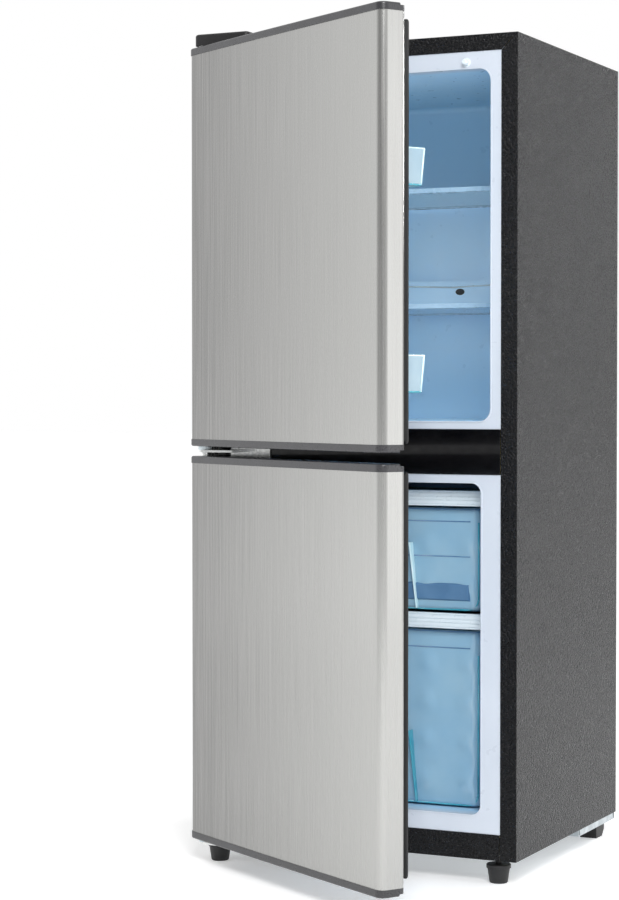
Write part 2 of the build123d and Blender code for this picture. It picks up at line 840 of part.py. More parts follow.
def door_gasket(name, low, high, low_inset, high_inset):
    """A hollow magnetic seal all round the back of a door."""
    left, right, bottom, top = gasket_frame(low_inset, high_inset, low, high)
    root = -gasket_gap - gasket_face
    layers = ((-gasket_gap, gasket_face, 0), (root, door_back + root, gasket_waist))
    with BuildPart() as gasket:
        for depth, thick, shrink in layers:
            with BuildSketch(door_facing(depth)):
                with Locations(((left + right) / 2, (bottom + top) / 2)):
                    RectangleRounded(right - left - 2 * shrink, top - bottom - 2 * shrink, gasket_corner)
                    RectangleRounded(
                        right - left - 2 * gasket_width + 2 * shrink,
                        top - bottom - 2 * gasket_width + 2 * shrink,
                        gasket_corner,
                        mode=Mode.SUBTRACT,
                    )
            extrude(amount=thick)
    save(gasket, name)


for side_name, seat, (low, high) in (("upper", middle_high, upper), ("lower", bottom_high, lower)):
    door_skin(f"{side_name}_door_skin", low + cap_height, high - cap_height)
    door_cap(f"{side_name}_door_top_cap", high, -1)
    door_cap(f"{side_name}_door_bottom_cap", low, 1)
    door_bushes(f"{side_name}_door_bushes", seat, low, high)

door_gasket("upper_door_gasket", *upper, gasket_split_inset, gasket_top_inset)
door_gasket("lower_door_gasket", *lower, gasket_bottom_inset, gasket_split_inset)


def door_side(distance):
    """Side view of a door at a distance from its left, y to the back and z up."""
    start = door.origin + Vector(*door_along) * distance
    return Plane(origin=start, x_dir=Vector(*door_outward) * -1, z_dir=door_along)


dyke_left = fridge_inset + dyke_side_clearance
dyke_right = fridge_right - dyke_side_clearance
dyke_low = fridge_low + dyke_low_inset
dyke_high = fridge_high - dyke_high_inset
bin_low_levels = (dyke_low + bin_first_rise, dyke_low + bin_first_rise + bin_pitch)
lug_reach = dyke_reach - dyke_fillet - 2


def dyke_arch(shrink, root, reach):
    """The raised arch on the inside of the upper door: two arms joined at the top."""
    with BuildPart() as arch:
        with BuildSketch(door_facing(root)):
            with Locations(((dyke_left + dyke_right) / 2, (dyke_low + dyke_high) / 2)):
                RectangleRounded(
                    dyke_right - dyke_left - 2 * shrink,
                    dyke_high - dyke_low - 2 * shrink,
                    dyke_wide / 2 - shrink,
                )
            with Locations(((dyke_left + dyke_right) / 2, dyke_low - dyke_wide)):
                RectangleRounded(
                    dyke_right - dyke_left - 2 * dyke_wide + 2 * shrink,
                    2 * (dyke_high - dyke_low + shrink),
                    dyke_wide / 2 + shrink,
                    mode=Mode.SUBTRACT,
                )
        extrude(amount=-(reach - root))
        crest = arch.faces().sort_by(lambda face: Vector(*door_outward).dot(face.center()))[0]
        fillet(crest.edges(), dyke_fillet - shrink)
    return arch.part


def door_panel(low, high):
    """The flat back of a door, between the returns of its skin and its two caps."""
    with BuildPart() as panel:
        with BuildSketch(door_facing(-door_back)):
            left, right = door_left + skin_return, door_right - skin_return
            bottom, top = low + cap_height + cap_plug_height, high - cap_height - cap_plug_height
            with Locations(((left + right) / 2, (bottom + top) / 2)):
                Rectangle(right - left, top - bottom)
        extrude(amount=door_liner_sheet)
    return panel.part


with BuildPart() as upper_door_liner:
    add(door_panel(*upper))
    add(dyke_arch(0, -door_back, dyke_reach))
    add(
        dyke_arch(door_liner_sheet, -door_back - door_liner_sheet, dyke_reach - door_liner_sheet),
        mode=Mode.SUBTRACT,
    )
    # ledges inside the dyke that carry the bins
    for bin_low in bin_low_levels:
        for start in (dyke_left + dyke_wide, dyke_right - dyke_wide - bin_lug_reach):
            with BuildSketch(door_side(start)):
                lug_high = bin_low - bin_lug_clearance
                with Locations(((lug_reach - door_back) / 2, lug_high - bin_lug_height / 2)):
                    Rectangle(lug_reach + door_back, bin_lug_height)
            extrude(amount=bin_lug_reach)
save(upper_door_liner, "upper_door_liner")

with BuildPart() as lower_door_liner:
    add(door_panel(*lower))
    with BuildSketch(door_facing(-door_back)):
        with Locations((cabinet_width / 2, (freezer_low + freezer_high) / 2)):
            RectangleRounded(
                freezer_right - freezer_inset - 2 * panel_inset,
                freezer_high - freezer_low - 2 * panel_inset,
                freezer_corner,
            )
    extrude(amount=-panel_rise)
    raised = lower_door_liner.faces().sort_by(lambda face: Vector(*door_outward).dot(face.center()))[0]
    fillet(raised.edges(), panel_edge)
save(lower_door_liner, "lower_door_liner")

for side_name, (low, high) in (("upper", upper), ("lower", lower)):
    with BuildPart() as foam:
        with BuildSketch(door_level(low + cap_height + cap_plug_height)):
            add(door_outline(skin_sheet, -door_back - skin_sheet))
        extrude(amount=high - low - 2 * (cap_height + cap_plug_height))
        add(door_panel(low, high), mode=Mode.SUBTRACT)
        if side_name == "upper":
            add(dyke_arch(door_liner_sheet, -door_back - door_liner_sheet, dyke_reach - door_liner_sheet))
    save(foam, f"{side_name}_door_foam")

for bin_name, bin_low in zip(("door_bin_lower", "door_bin_upper"), bin_low_levels):
    start = dyke_left + dyke_wide + bin_side_clearance
    length = dyke_right - dyke_wide - bin_side_clearance - start
    back = -door_back + bin_clearance
    with BuildPart() as door_bin:
        for inset, mode in ((0, Mode.ADD), (bin_wall, Mode.SUBTRACT)):
            with BuildSketch(door_side(start + inset)):
                with BuildLine():
                    Polyline(
                        (back + inset, bin_low + inset),
                        (bin_reach - bin_slope - inset, bin_low + inset),
                        (bin_reach - inset, bin_low + bin_height),
                        (back + inset, bin_low + bin_height),
                        close=True,
                    )
                make_face()
            extrude(amount=length - 2 * inset, mode=mode)
            if not inset:
                upright = door_bin.edges().filter_by(lambda edge: abs(edge.tangent_at(0.5).Z) > 0.9)
                inner = upright.sort_by(lambda edge: Vector(*door_outward).dot(edge.center()))[:2]
                fillet(inner, bin_corner)
    save(door_bin, bin_name)

# ---------------------------------------------------------------- fresh-food shelves
shelf_left = fridge_inset + shelf_clearance
shelf_right = fridge_right - shelf_clearance
shelf_back = fridge_depth - gutter_depth - shelf_back_gap
for shelf_name, shelf_level in zip(("lower", "upper"), shelf_levels):
    shelf_low = shelf_level + hinge_running_gap
    glass_low = shelf_low + (shelf_trim_height - shelf_glass) / 2
    glass_corners = (
        (shelf_left + shelf_trim_hold, shelf_front + shelf_trim_hold, glass_low),
        (shelf_right - shelf_trim_hold, shelf_back - shelf_trim_hold, glass_low + shelf_glass),
    )
    with BuildPart(cabinet) as shelf_glass_plate:
        brick(*glass_corners)
    save(shelf_glass_plate, f"fridge_shelf_{shelf_name}_glass")
    with BuildPart(cabinet) as shelf_trim:
        brick((shelf_left, shelf_front, shelf_low), (shelf_right, shelf_back, shelf_low + shelf_trim_height))
        fillet(shelf_trim.edges().filter_by(Axis.Z), shelf_trim_hold)
        brick(
            (shelf_left + shelf_trim_depth, shelf_front + shelf_trim_depth, shelf_low),
            (shelf_right - shelf_trim_depth, shelf_back - shelf_trim_depth, shelf_low + shelf_trim_height),
            mode=Mode.SUBTRACT,
        )
        brick(*glass_corners, mode=Mode.SUBTRACT)
    save(shelf_trim, f"fridge_shelf_{shelf_name}_trim")

# ---------------------------------------------------------------- freezer shelves
evaporator_left = freezer_inset + evaporator_clearance
evaporator_right = freezer_right - evaporator_clearance
plate_front = evaporator_trim_front + evaporator_trim_depth
plate_back = freezer_depth - evaporator_back_gap
for shelf_name, shelf_low in zip(("lower", "upper"), evaporator_levels):
    plate_low = shelf_low + evaporator_trim_height / 2
    tube_z = plate_low - evaporator_tube_radius + evaporator_tube_sink
    with BuildPart(cabinet) as evaporator_trim:
        brick(
            (evaporator_left, evaporator_trim_front, shelf_low),
            (evaporator_right, plate_front, shelf_low + evaporator_trim_height),
        )
        fillet(evaporator_trim.edges().filter_by(Axis.X), evaporator_trim_edge)
        grooves = int(evaporator_trim_height // evaporator_groove_pitch)
        for groove in range(grooves):
            groove_low = shelf_low + evaporator_groove_pitch * (groove + 0.5) - evaporator_groove_width / 2
            brick(
                (evaporator_left, evaporator_trim_front, groove_low),
                (
                    evaporator_right,
                    evaporator_trim_front + evaporator_groove_depth,
                    groove_low + evaporator_groove_width,
                ),
                mode=Mode.SUBTRACT,
            )
    save(evaporator_trim, f"evaporator_{shelf_name}_trim")
    tube_left, tube_right = evaporator_left + evaporator_tube_inset, evaporator_right - evaporator_tube_inset
    runs = int((plate_back - plate_front - evaporator_tube_margin) // evaporator_pitch)
    route = []
    for run in range(runs + 1):
        y = plate_front + evaporator_tube_front + run * evaporator_pitch
        ends = (tube_left, tube_right) if run % 2 == 0 else (tube_right, tube_left)
        route += [(end, y, tube_z) for end in ends]
    route = [cabinet.from_local_coords(Vector(*point)) for point in route]
    with BuildPart() as evaporator_tube:
        with BuildLine() as tube_path:
            FilletPolyline(*route, radius=evaporator_pitch * 0.48)
        with BuildSketch(Plane(origin=tube_path.line @ 0, z_dir=tube_path.line % 0)):
            Circle(evaporator_tube_radius)
        sweep()
    with BuildPart(cabinet) as evaporator:
        brick(
            (evaporator_left, plate_front, plate_low),
            (evaporator_right, plate_back, plate_low + evaporator_plate),
        )
        add(cabinet.to_local_coords(evaporator_tube.part))
    save(evaporator, f"evaporator_{shelf_name}_shelf")

# ---------------------------------------------------------------- freezer drawers
drawer_left = freezer_inset + drawer_side_clearance
drawer_right = freezer_right - drawer_side_clearance
upper_floor = evaporator_levels[0] + evaporator_trim_height
drawer_spans = (
    ("lower", freezer_low + drawer_gap, evaporator_levels[0] - drawer_head_gap, freezer_step_depth),
    ("upper", upper_floor + drawer_gap, evaporator_levels[1] - drawer_head_gap, freezer_depth),
)
for drawer_name, low, high, room in drawer_spans:
    drawer_back = room - drawer_back_clearance
    drawer_middle = ((drawer_left + drawer_right) / 2, (drawer_front + drawer_back) / 2)
    grip_left, grip_right = drawer_left + grip_side_inset, drawer_right - grip_side_inset
    with BuildPart(cabinet) as drawer:
        for inset, mode in ((0, Mode.ADD), (drawer_wall, Mode.SUBTRACT)):
            with BuildSketch(level(low + inset)):
                with Locations(drawer_middle):
                    RectangleRounded(
                        drawer_right - drawer_left - 2 * inset,
                        drawer_back - drawer_front - 2 * inset,
                        drawer_corner - inset,
                    )
            extrude(amount=high - low - inset, mode=mode)
            if not inset:
                fillet(drawer.faces().sort_by(Axis.Z)[0].edges(), drawer_floor_edge)
        # a hooked grip under the top edge of the front
        brick(
            (grip_left, drawer_front - grip_depth, high - drawer_wall),
            (grip_right, drawer_front + drawer_wall, high),
        )
        brick(
            (grip_left, drawer_front - grip_depth, high - grip_height),
            (grip_right, drawer_front - grip_depth + drawer_wall, high),
        )
    save(drawer, f"freezer_drawer_{drawer_name}")

# ---------------------------------------------------------------- thermostat and lamp
thermostat_face = fridge_right - thermostat_reach
thermostat_back = thermostat_front + thermostat_length
thermostat_low = fridge_high - thermostat_roof_gap
knob_y = thermostat_front + knob_place * thermostat_length
knob_z = thermostat_low + thermostat_height / 2
knob_root = thermostat_face - hinge_running_gap
window_front = thermostat_front + window_margin
window_back = knob_y - knob_radius - window_knob_gap
window_spot = ((window_front + window_back) / 2, knob_z)
window_length = window_back - window_front
window_height = thermostat_height - 2 * window_height_margin
with BuildPart(cabinet) as thermostat_housing:
    brick(
        (thermostat_face, thermostat_front, thermostat_low),
        (fridge_right, thermostat_back, thermostat_low + thermostat_height),
    )
    fillet(thermostat_housing.faces().sort_by(Axis.X)[0].edges(), thermostat_corner)
    brick(
        (
            thermostat_face + thermostat_wall,
            thermostat_front + thermostat_wall,
            thermostat_low + thermostat_wall,
        ),
        (
            fridge_right,
            thermostat_back - thermostat_wall,
            thermostat_low + thermostat_height - thermostat_wall,
        ),
        mode=Mode.SUBTRACT,
    )
    with BuildSketch(side(thermostat_face)):
        with Locations((knob_y, knob_z)):
            Circle(knob_shaft_radius + pin_clearance)
        with Locations(window_spot):
            RectangleRounded(window_length, window_height, window_corner)
    extrude(amount=thermostat_wall, mode=Mode.SUBTRACT)
save(thermostat_housing, "thermostat_housing")

with BuildPart() as thermostat_knob:
    with BuildSketch(side(knob_root)):
        with Locations((knob_y, knob_z)):
            Circle(knob_radius)
    extrude(amount=-knob_height)
    fillet(thermostat_knob.faces().sort_by(Axis.X)[0].edges(), 1.2)
    with BuildSketch(side(knob_root)):
        with Locations((knob_y, knob_z)):
            with PolarLocations(knob_radius, knob_grips):
                Circle(knob_grip_radius)
    extrude(amount=-knob_height, mode=Mode.SUBTRACT)
    # a pointer groove
    with BuildSketch(side(knob_root - knob_height)):
        with Locations((knob_y, knob_z + knob_radius / 2)):
            Rectangle(2 * knob_grip_radius, knob_radius - 3)
    extrude(amount=knob_grip_radius, mode=Mode.SUBTRACT)
    with BuildSketch(side(knob_root - knob_height / 2)):
        with Locations((knob_y, knob_z)):
            Circle(knob_shaft_radius)
    extrude(amount=knob_height / 2 + thermostat_wall + 4)
save(thermostat_knob, "thermostat_knob")

with BuildPart(cabinet) as thermostat:
    brick(
        (
            thermostat_face + thermostat_wall + knob_height / 2,
            knob_y - thermostat_half,
            knob_z - thermostat_half,
        ),
        (fridge_right - thermostat_wall, knob_y + thermostat_half, knob_z + thermostat_half),
    )
    fillet(thermostat.edges(), thermostat_wall / 2)
save(thermostat, "thermostat")

with BuildPart() as lamp_cover:
    with BuildSketch(side(thermostat_face)):
        with Locations(window_spot):
            RectangleRounded(
                window_length - 2 * window_clearance,
                window_height - 2 * window_clearance,
                window_corner,
            )
    extrude(amount=thermostat_wall)
    with BuildSketch(side(thermostat_face + window_rib_height)):
        with Locations(window_spot):
            with GridLocations(window_rib_pitch, 1, int(window_length // window_rib_pitch) - 1, 1):
                Rectangle(window_rib_width, window_height - 2 * window_corner)
    extrude(amount=-2 * window_rib_height)
save(lamp_cover, "lamp_cover")

lamp_x = fridge_right - lamp_radius - thermostat_wall
lamp_y = window_spot[0]
lamp_low = thermostat_low + thermostat_height / 2 - 2 * lamp_radius
lamp_z = lamp_low + 2.6 * lamp_radius
with BuildPart(cabinet) as interior_lamp:
    post((lamp_x, lamp_y), lamp_low, lamp_z, lamp_base_radius)
    with Locations((lamp_x, lamp_y, lamp_z)):
        Sphere(lamp_radius)
save(interior_lamp, "interior_lamp")

switch_back = wrap_sheet + liner_sheet + switch_body_depth
bore_back = switch_back - switch_end_wall
plunger_back = bore_back - switch_travel - switch_end_wall / 2
with BuildPart() as light_switch_housing:
    with BuildSketch(facing(switch_back)):
        with Locations((switch_x, switch_z)):
            Circle(switch_body_radius)
    extrude(amount=switch_body_depth + liner_sheet)
    with BuildSketch(facing(bore_back)):
        with Locations((switch_x, switch_z)):
            Circle(switch_radius + pin_clearance)
    extrude(amount=bore_back - wrap_sheet, mode=Mode.SUBTRACT)
save(light_switch_housing, "light_switch_housing")

with BuildPart() as light_switch_plunger:
    with BuildSketch(facing(plunger_back)):
        with Locations((switch_x, switch_z)):
            Circle(switch_radius)
    extrude(amount=plunger_back + switch_reach)
    fillet(light_switch_plunger.faces().sort_by(Axis.Y)[0].edges(), switch_tip)
save(light_switch_plunger, "light_switch_plunger")

# ---------------------------------------------------------------- machine bay
plate_low = -base_drop
plate_high = plate_low + base_sheet
compressor_y = bay_front + bay_depth / 2
bolt_reach = compressor_half_depth - bolt_inset
bolt_spots = [
    (compressor_x + along * compressor_half_width, compressor_y + across * bolt_reach)
    for along in (-1, 1)
    for across in (-1, 1)
]
base_front = bay_front + base_front_gap
base_back = cabinet_depth - base_back_gap
with BuildPart(cabinet) as compressor_base:
    brick((pan_left, base_front, plate_low), (pan_right, base_back, plate_high))
    for edge_y in (base_front, base_back - base_sheet):
        brick((pan_left, edge_y, plate_low), (pan_right, edge_y + base_sheet, -cut_over / 2))
    for edge_x in (pan_left, pan_right - base_sheet):
        brick((edge_x, base_front + 6, plate_low), (edge_x + base_sheet, base_back - 6, base_ear_height))
    for spot in bolt_spots:
        post(spot, plate_low, plate_high, stud_radius, mode=Mode.SUBTRACT)
save(compressor_base, "compressor_base")

with BuildPart() as rear_feet:
    for foot_x in (rear_foot_inset, cabinet_width - rear_foot_inset - rear_foot_width):
        start = cabinet_depth - rear_foot_back - rear_foot_length
        with BuildSketch(side(foot_x)):
            with BuildLine():
                Polyline(
                    (start, plate_low),
                    (start, -foot_height),
                    (start + rear_foot_length - rear_foot_chamfer, -foot_height),
                    (start + rear_foot_length, rear_foot_chamfer - foot_height),
                    (start + rear_foot_length, plate_low),
                    close=True,
                )
            make_face()
        extrude(amount=rear_foot_width)
save(rear_feet, "rear_feet")

grommet_high = plate_high + grommet_height
with BuildPart(cabinet) as compressor_grommets:
    for spot in bolt_spots:
        post(spot, plate_high, grommet_high, grommet_radius)
        with Locations((*spot, grommet_high - grommet_waist)):
            Torus(grommet_radius, grommet_waist / 3, mode=Mode.SUBTRACT)
        post(spot, plate_high, grommet_high, stud_radius, mode=Mode.SUBTRACT)
save(compressor_grommets, "compressor_grommets")

foot_plate_high = grommet_high + compressor_plate
with BuildPart(cabinet) as compressor_bolts:
    for spot in bolt_spots:
        post(spot, plate_low - bolt_head_height, plate_low, bolt_head_radius)
        post(spot, plate_low, foot_plate_high + bolt_over, stud_radius)
        with BuildSketch(level(foot_plate_high)):
            with Locations(spot):
                RegularPolygon(bolt_nut_radius, 6)
        extrude(amount=bolt_nut_height)
save(compressor_bolts, "compressor_bolts")

can_low = foot_plate_high
can_high = can_low + compressor_height
can_long, can_short = compressor_half_width - can_inset, compressor_half_depth - 2
compressor_spot = (compressor_x, compressor_y)
plate_margin = 13.0
with BuildPart(cabinet) as compressor:
    with BuildSketch(level(can_low)):
        with Locations(compressor_spot):
            Ellipse(can_long, can_short)
    extrude(amount=compressor_height)
    fillet(compressor.faces().sort_by(Axis.Z)[-1].edges(), can_dome)
    # the welded seam of its two halves
    with BuildSketch(level(can_low + compressor_height / 2)):
        with Locations(compressor_spot):
            Ellipse(can_long + can_seam, can_short + can_seam)
    extrude(amount=can_seam)
    with BuildSketch(level(grommet_high)):
        with Locations(compressor_spot):
            RectangleRounded(
                2 * (compressor_half_width + plate_margin),
                2 * (compressor_half_depth - bolt_inset + plate_margin),
                plate_margin - 1,
            )
    extrude(amount=compressor_plate)
    for spot in bolt_spots:
        post(spot, grommet_high, foot_plate_high, stud_radius + hinge_running_gap, mode=Mode.SUBTRACT)
save(compressor, "compressor")

box_left = compressor_x + compressor_half_width - terminal_overlap
box_right = compressor_x + compressor_half_width + terminal_reach
box_front, box_back = compressor_y - terminal_half_depth, compressor_y + terminal_half_depth
box_low = can_low + terminal_rise
box_high = box_low + terminal_height
gland_spot = (box_right - gland_inset, box_low + gland_inset)
with BuildPart(cabinet) as terminal_cover:
    brick((box_left, box_front, box_low), (box_right, box_back, box_high))
    fillet(terminal_cover.faces().sort_by(Axis.X)[-1].edges(), 2 * terminal_wall)
    brick(
        (box_left, box_front + terminal_wall, box_low + terminal_wall),
        (box_right - terminal_wall, box_back - terminal_wall, box_high - terminal_wall),
        mode=Mode.SUBTRACT,
    )
    with BuildSketch(level(box_low)):
        with Locations(compressor_spot):
            Ellipse(can_long + hinge_running_gap, can_short + hinge_running_gap)
    extrude(amount=terminal_height, mode=Mode.SUBTRACT)
    with BuildSketch(facing(box_back)):
        with Locations(gland_spot):
            Circle(gland_neck_radius)
    extrude(amount=terminal_wall, mode=Mode.SUBTRACT)
save(terminal_cover, "terminal_cover")

with BuildPart() as cord_gland:
    gland_steps = (
        (box_back + gland_nose, gland_radius, gland_nose),
        (box_back, gland_neck_radius, terminal_wall),
        (box_back - terminal_wall, gland_radius, gland_flange),
    )
    for depth, radius, length in gland_steps:
        with BuildSketch(facing(depth)):
            with Locations(gland_spot):
                Circle(radius)
        extrude(amount=length)
    with BuildSketch(facing(box_back + gland_nose)):
        with Locations(gland_spot):
            Circle(cord_bore_radius)
    extrude(amount=gland_nose + terminal_wall + gland_flange, mode=Mode.SUBTRACT)
save(cord_gland, "cord_gland")

with BuildPart(cabinet) as drip_tray:
    for inset, mode in ((0, Mode.ADD), (tray_wall, Mode.SUBTRACT)):
        with BuildSketch(level(can_high + inset)):
            with Locations((compressor_x + tray_shift, compressor_y)):
                RectangleRounded(tray_length - 2 * inset, tray_depth - 2 * inset, tray_corner - inset)
        extrude(amount=tray_height - inset, mode=mode)
save(drip_tray, "drip_tray")


# ---------------------------------------------------------------- condenser and pipes
def tube(route, radius, bend):
    """A round tube along straight runs with tangent bends, in cabinet measures."""
    points = [cabinet.from_local_coords(Vector(*point)) for point in route]
    with BuildPart() as run:
        with BuildLine() as path:
            if len(points) > 2:
                FilletPolyline(*points, radius=bend)
            else:
                Line(*points)
        with BuildSketch(Plane(origin=path.line @ 0, z_dir=path.line % 0)):
            Circle(radius)
        sweep()
    return run.part


drop_left, drop_right = drop_left_inset, cabinet_width - drop_right_inset
joint_z = bay_height - 10
coil_left, coil_right = condenser_inset, cabinet_width - condenser_inset
condenser_low = bay_height + condenser_rise
pairs = int((cabinet_height - condenser_top_inset - condenser_low) // (2 * condenser_pitch))
condenser_runs = 2 * pairs + 1
coil_route = [(drop_left, condenser_y, joint_z), (drop_left, condenser_y, condenser_low)]
for run in range(condenser_runs):
    run_z = condenser_low + run * condenser_pitch
    starts_left = run % 2 == 0
    if run:
        coil_route.append((coil_left if starts_left else coil_right, condenser_y, run_z))
    last = run == condenser_runs - 1
    if not last:
        coil_route.append((coil_right if starts_left else coil_left, condenser_y, run_z))
coil_high = condenser_low + (condenser_runs - 1) * condenser_pitch
coil_route += [(drop_right, condenser_y, coil_high), (drop_right, condenser_y, joint_z)]
wire_reach = condenser_tube_radius + wire_radius + wire_gap
wire_count = int((coil_right - coil_left - 2 * wire_margin) // wire_pitch) + 1
with BuildPart() as condenser:
    add(tube(coil_route, condenser_tube_radius, condenser_bend))
    for side_y in (condenser_y - wire_reach, condenser_y + wire_reach):
        with BuildSketch(level(condenser_low - wire_overrun)):
            with Locations((cabinet_width / 2, side_y)):
                with GridLocations(wire_pitch, 1, wire_count, 1):
                    Circle(wire_radius)
        extrude(amount=coil_high - condenser_low + 2 * wire_overrun)
save(condenser, "condenser")

# each bracket clips a run of the tube between two wires
bracket_x = (wire_count / 2 - 2) * wire_pitch
with BuildPart(cabinet) as condenser_brackets:
    for bracket_run in (1, condenser_runs - 2):
        run_z = condenser_low + bracket_run * condenser_pitch
        for turn in (-1, 1):
            x = cabinet_width / 2 + turn * bracket_x
            left, right = x - bracket_half_width, x + bracket_half_width
            low, high = run_z - bracket_half_height, run_z + bracket_half_height
            brick((left, cabinet_depth, low), (right, condenser_y + bracket_cap, high))
            with Locations(Location((x, condenser_y, run_z), (0, 90, 0))):
                Cylinder(condenser_tube_radius, 2 * bracket_half_width, mode=Mode.SUBTRACT)
            # the slot that lets the clip spring open
            slot_y = condenser_y - condenser_tube_radius - bracket_cap
            slot_z = run_z + condenser_tube_radius
            brick((left, slot_y, slot_z), (right, slot_y + 2, high), mode=Mode.SUBTRACT)
save(condenser_brackets, "condenser_brackets")

drier_y = cabinet_depth - drier_back_gap
drier_low, drier_high = drier_rise, drier_rise + drier_length
drier_spot = (left_x + drop_right, front_y + drier_y, base_z)
can_left = compressor_x - can_long
spread_left = compressor_x - can_long * math.sqrt(1 - ((pipe_spread - pipe_radius) / can_short) ** 2)
roof = bay_height - pan_sheet
pipe_bend = 10.0
discharge_y, suction_y = compressor_y + pipe_spread, compressor_y - pipe_spread
discharge = [
    (spread_left, discharge_y, discharge_z),
    (drop_left, discharge_y, discharge_z),
    (drop_left, condenser_y, discharge_z),
    (drop_left, condenser_y, joint_z),
]
suction_x = can_left - suction_reach
suction = [(spread_left, suction_y, suction_z), (suction_x, suction_y, suction_z), (suction_x, suction_y, roof)]
process = [(can_left, compressor_y, process_z), (can_left - process_reach, compressor_y, process_z)]
liquid_z = drier_high + 22
liquid = [
    (drop_right, condenser_y, joint_z),
    (drop_right, condenser_y, liquid_z),
    (drop_right, drier_y, liquid_z),
    (drop_right, drier_y, drier_high),
]
capillary_z = drier_low - 26
capillary_x = drop_right - capillary_reach
capillary = [
    (drop_right, drier_y, drier_low),
    (drop_right, drier_y, capillary_z),
    (capillary_x, drier_y, capillary_z),
    (capillary_x, drier_y, roof),
]
with BuildPart() as refrigerant_pipes:
    add(tube(discharge, condenser_tube_radius, pipe_bend))
    add(tube(suction, pipe_radius, pipe_bend))
    add(tube(process, pipe_radius, pipe_bend))
    add(tube(liquid, condenser_tube_radius, pipe_bend))
    add(tube(capillary, capillary_radius, pipe_bend))
    # the filter drier: a spun copper shell with drawn ends
    with BuildSketch(Plane(origin=drier_spot, x_dir=(1, 0, 0), z_dir=(0, -1, 0))):
        with BuildLine():
            Polyline(
                (0, drier_low),
                (drier_neck, drier_low),
                (drier_radius, drier_low + drier_taper),
                (drier_radius, drier_high - drier_taper),
                (drier_neck, drier_high),
                (0, drier_high),
                close=True,
            )
        make_face()
    revolve(axis=Axis(drier_spot, (0, 0, 1)))
save(refrigerant_pipes, "refrigerant_pipes")
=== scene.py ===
import json
import math

import bmesh
import bpy
from mathutils import Matrix, Vector


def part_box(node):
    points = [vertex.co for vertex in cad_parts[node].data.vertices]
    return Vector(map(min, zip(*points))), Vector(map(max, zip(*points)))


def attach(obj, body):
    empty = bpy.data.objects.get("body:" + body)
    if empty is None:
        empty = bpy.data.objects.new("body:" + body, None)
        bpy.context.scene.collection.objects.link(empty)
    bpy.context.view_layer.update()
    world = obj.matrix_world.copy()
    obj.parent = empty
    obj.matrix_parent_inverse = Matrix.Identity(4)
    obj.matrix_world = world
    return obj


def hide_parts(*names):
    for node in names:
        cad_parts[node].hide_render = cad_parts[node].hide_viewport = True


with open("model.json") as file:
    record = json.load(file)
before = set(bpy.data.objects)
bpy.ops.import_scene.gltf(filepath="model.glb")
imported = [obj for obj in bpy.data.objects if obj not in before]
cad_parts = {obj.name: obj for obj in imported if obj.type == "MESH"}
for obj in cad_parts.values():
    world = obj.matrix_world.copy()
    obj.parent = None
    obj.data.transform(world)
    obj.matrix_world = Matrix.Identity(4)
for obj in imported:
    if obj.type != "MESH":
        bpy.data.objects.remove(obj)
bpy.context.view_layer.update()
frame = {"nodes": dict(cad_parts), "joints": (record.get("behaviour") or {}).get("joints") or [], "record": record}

mm = 0.001
nodes = frame["nodes"]
jointByName = {joint["name"]: joint for joint in frame["joints"]}

# the cabinet's own corner: front, left and low, and the hinge line that both doors swing on
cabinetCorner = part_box("cabinet_wrap")[0]
hingePoint = Vector(jointByName["upper_door_swing"]["pos_m"])
doorAngle = math.radians(-jointByName["upper_door_swing"]["range_deg"][0])
openDoor = (
    Matrix.Translation(hingePoint) @ Matrix.Rotation(-doorAngle, 4, "Z") @ Matrix.Translation(-hingePoint)
)
shutDoor = openDoor.inverted()
print("frame loaded:", len(nodes), "nodes")


def spanOf(node, turn=Matrix.Identity(4)):
    # lowest and highest corner of a node, after a turn such as shutting its door
    points = [turn @ vertex.co for vertex in nodes[node].data.vertices]
    low = Vector([min(point[axis] for point in points) for axis in range(3)])
    high = Vector([max(point[axis] for point in points) for axis in range(3)])
    return low, high


def toLinear(hexCode):
    parts = [int(hexCode[start:start + 2], 16) / 255 for start in (1, 3, 5)]
    return tuple(p / 12.92 if p <= 0.04045 else ((p + 0.055) / 1.055) ** 2.4 for p in parts) + (1.0,)


def addNode(tree, kind, settings=None, links=None):
    node = tree.nodes.new(kind)
    for key, value in (settings or {}).items():
        if isinstance(key, int) or key in node.inputs:
            node.inputs[key].default_value = value
        else:
            setattr(node, key, value)
    for socket, source in (links or {}).items():
        tree.links.new(source, node.inputs[socket])
    return node


# noise seldom leaves these limits, so they stand for its lowest and highest value
noiseLimits = {"mottle": (0.3, 0.7), "grain": (0.25, 0.75)}


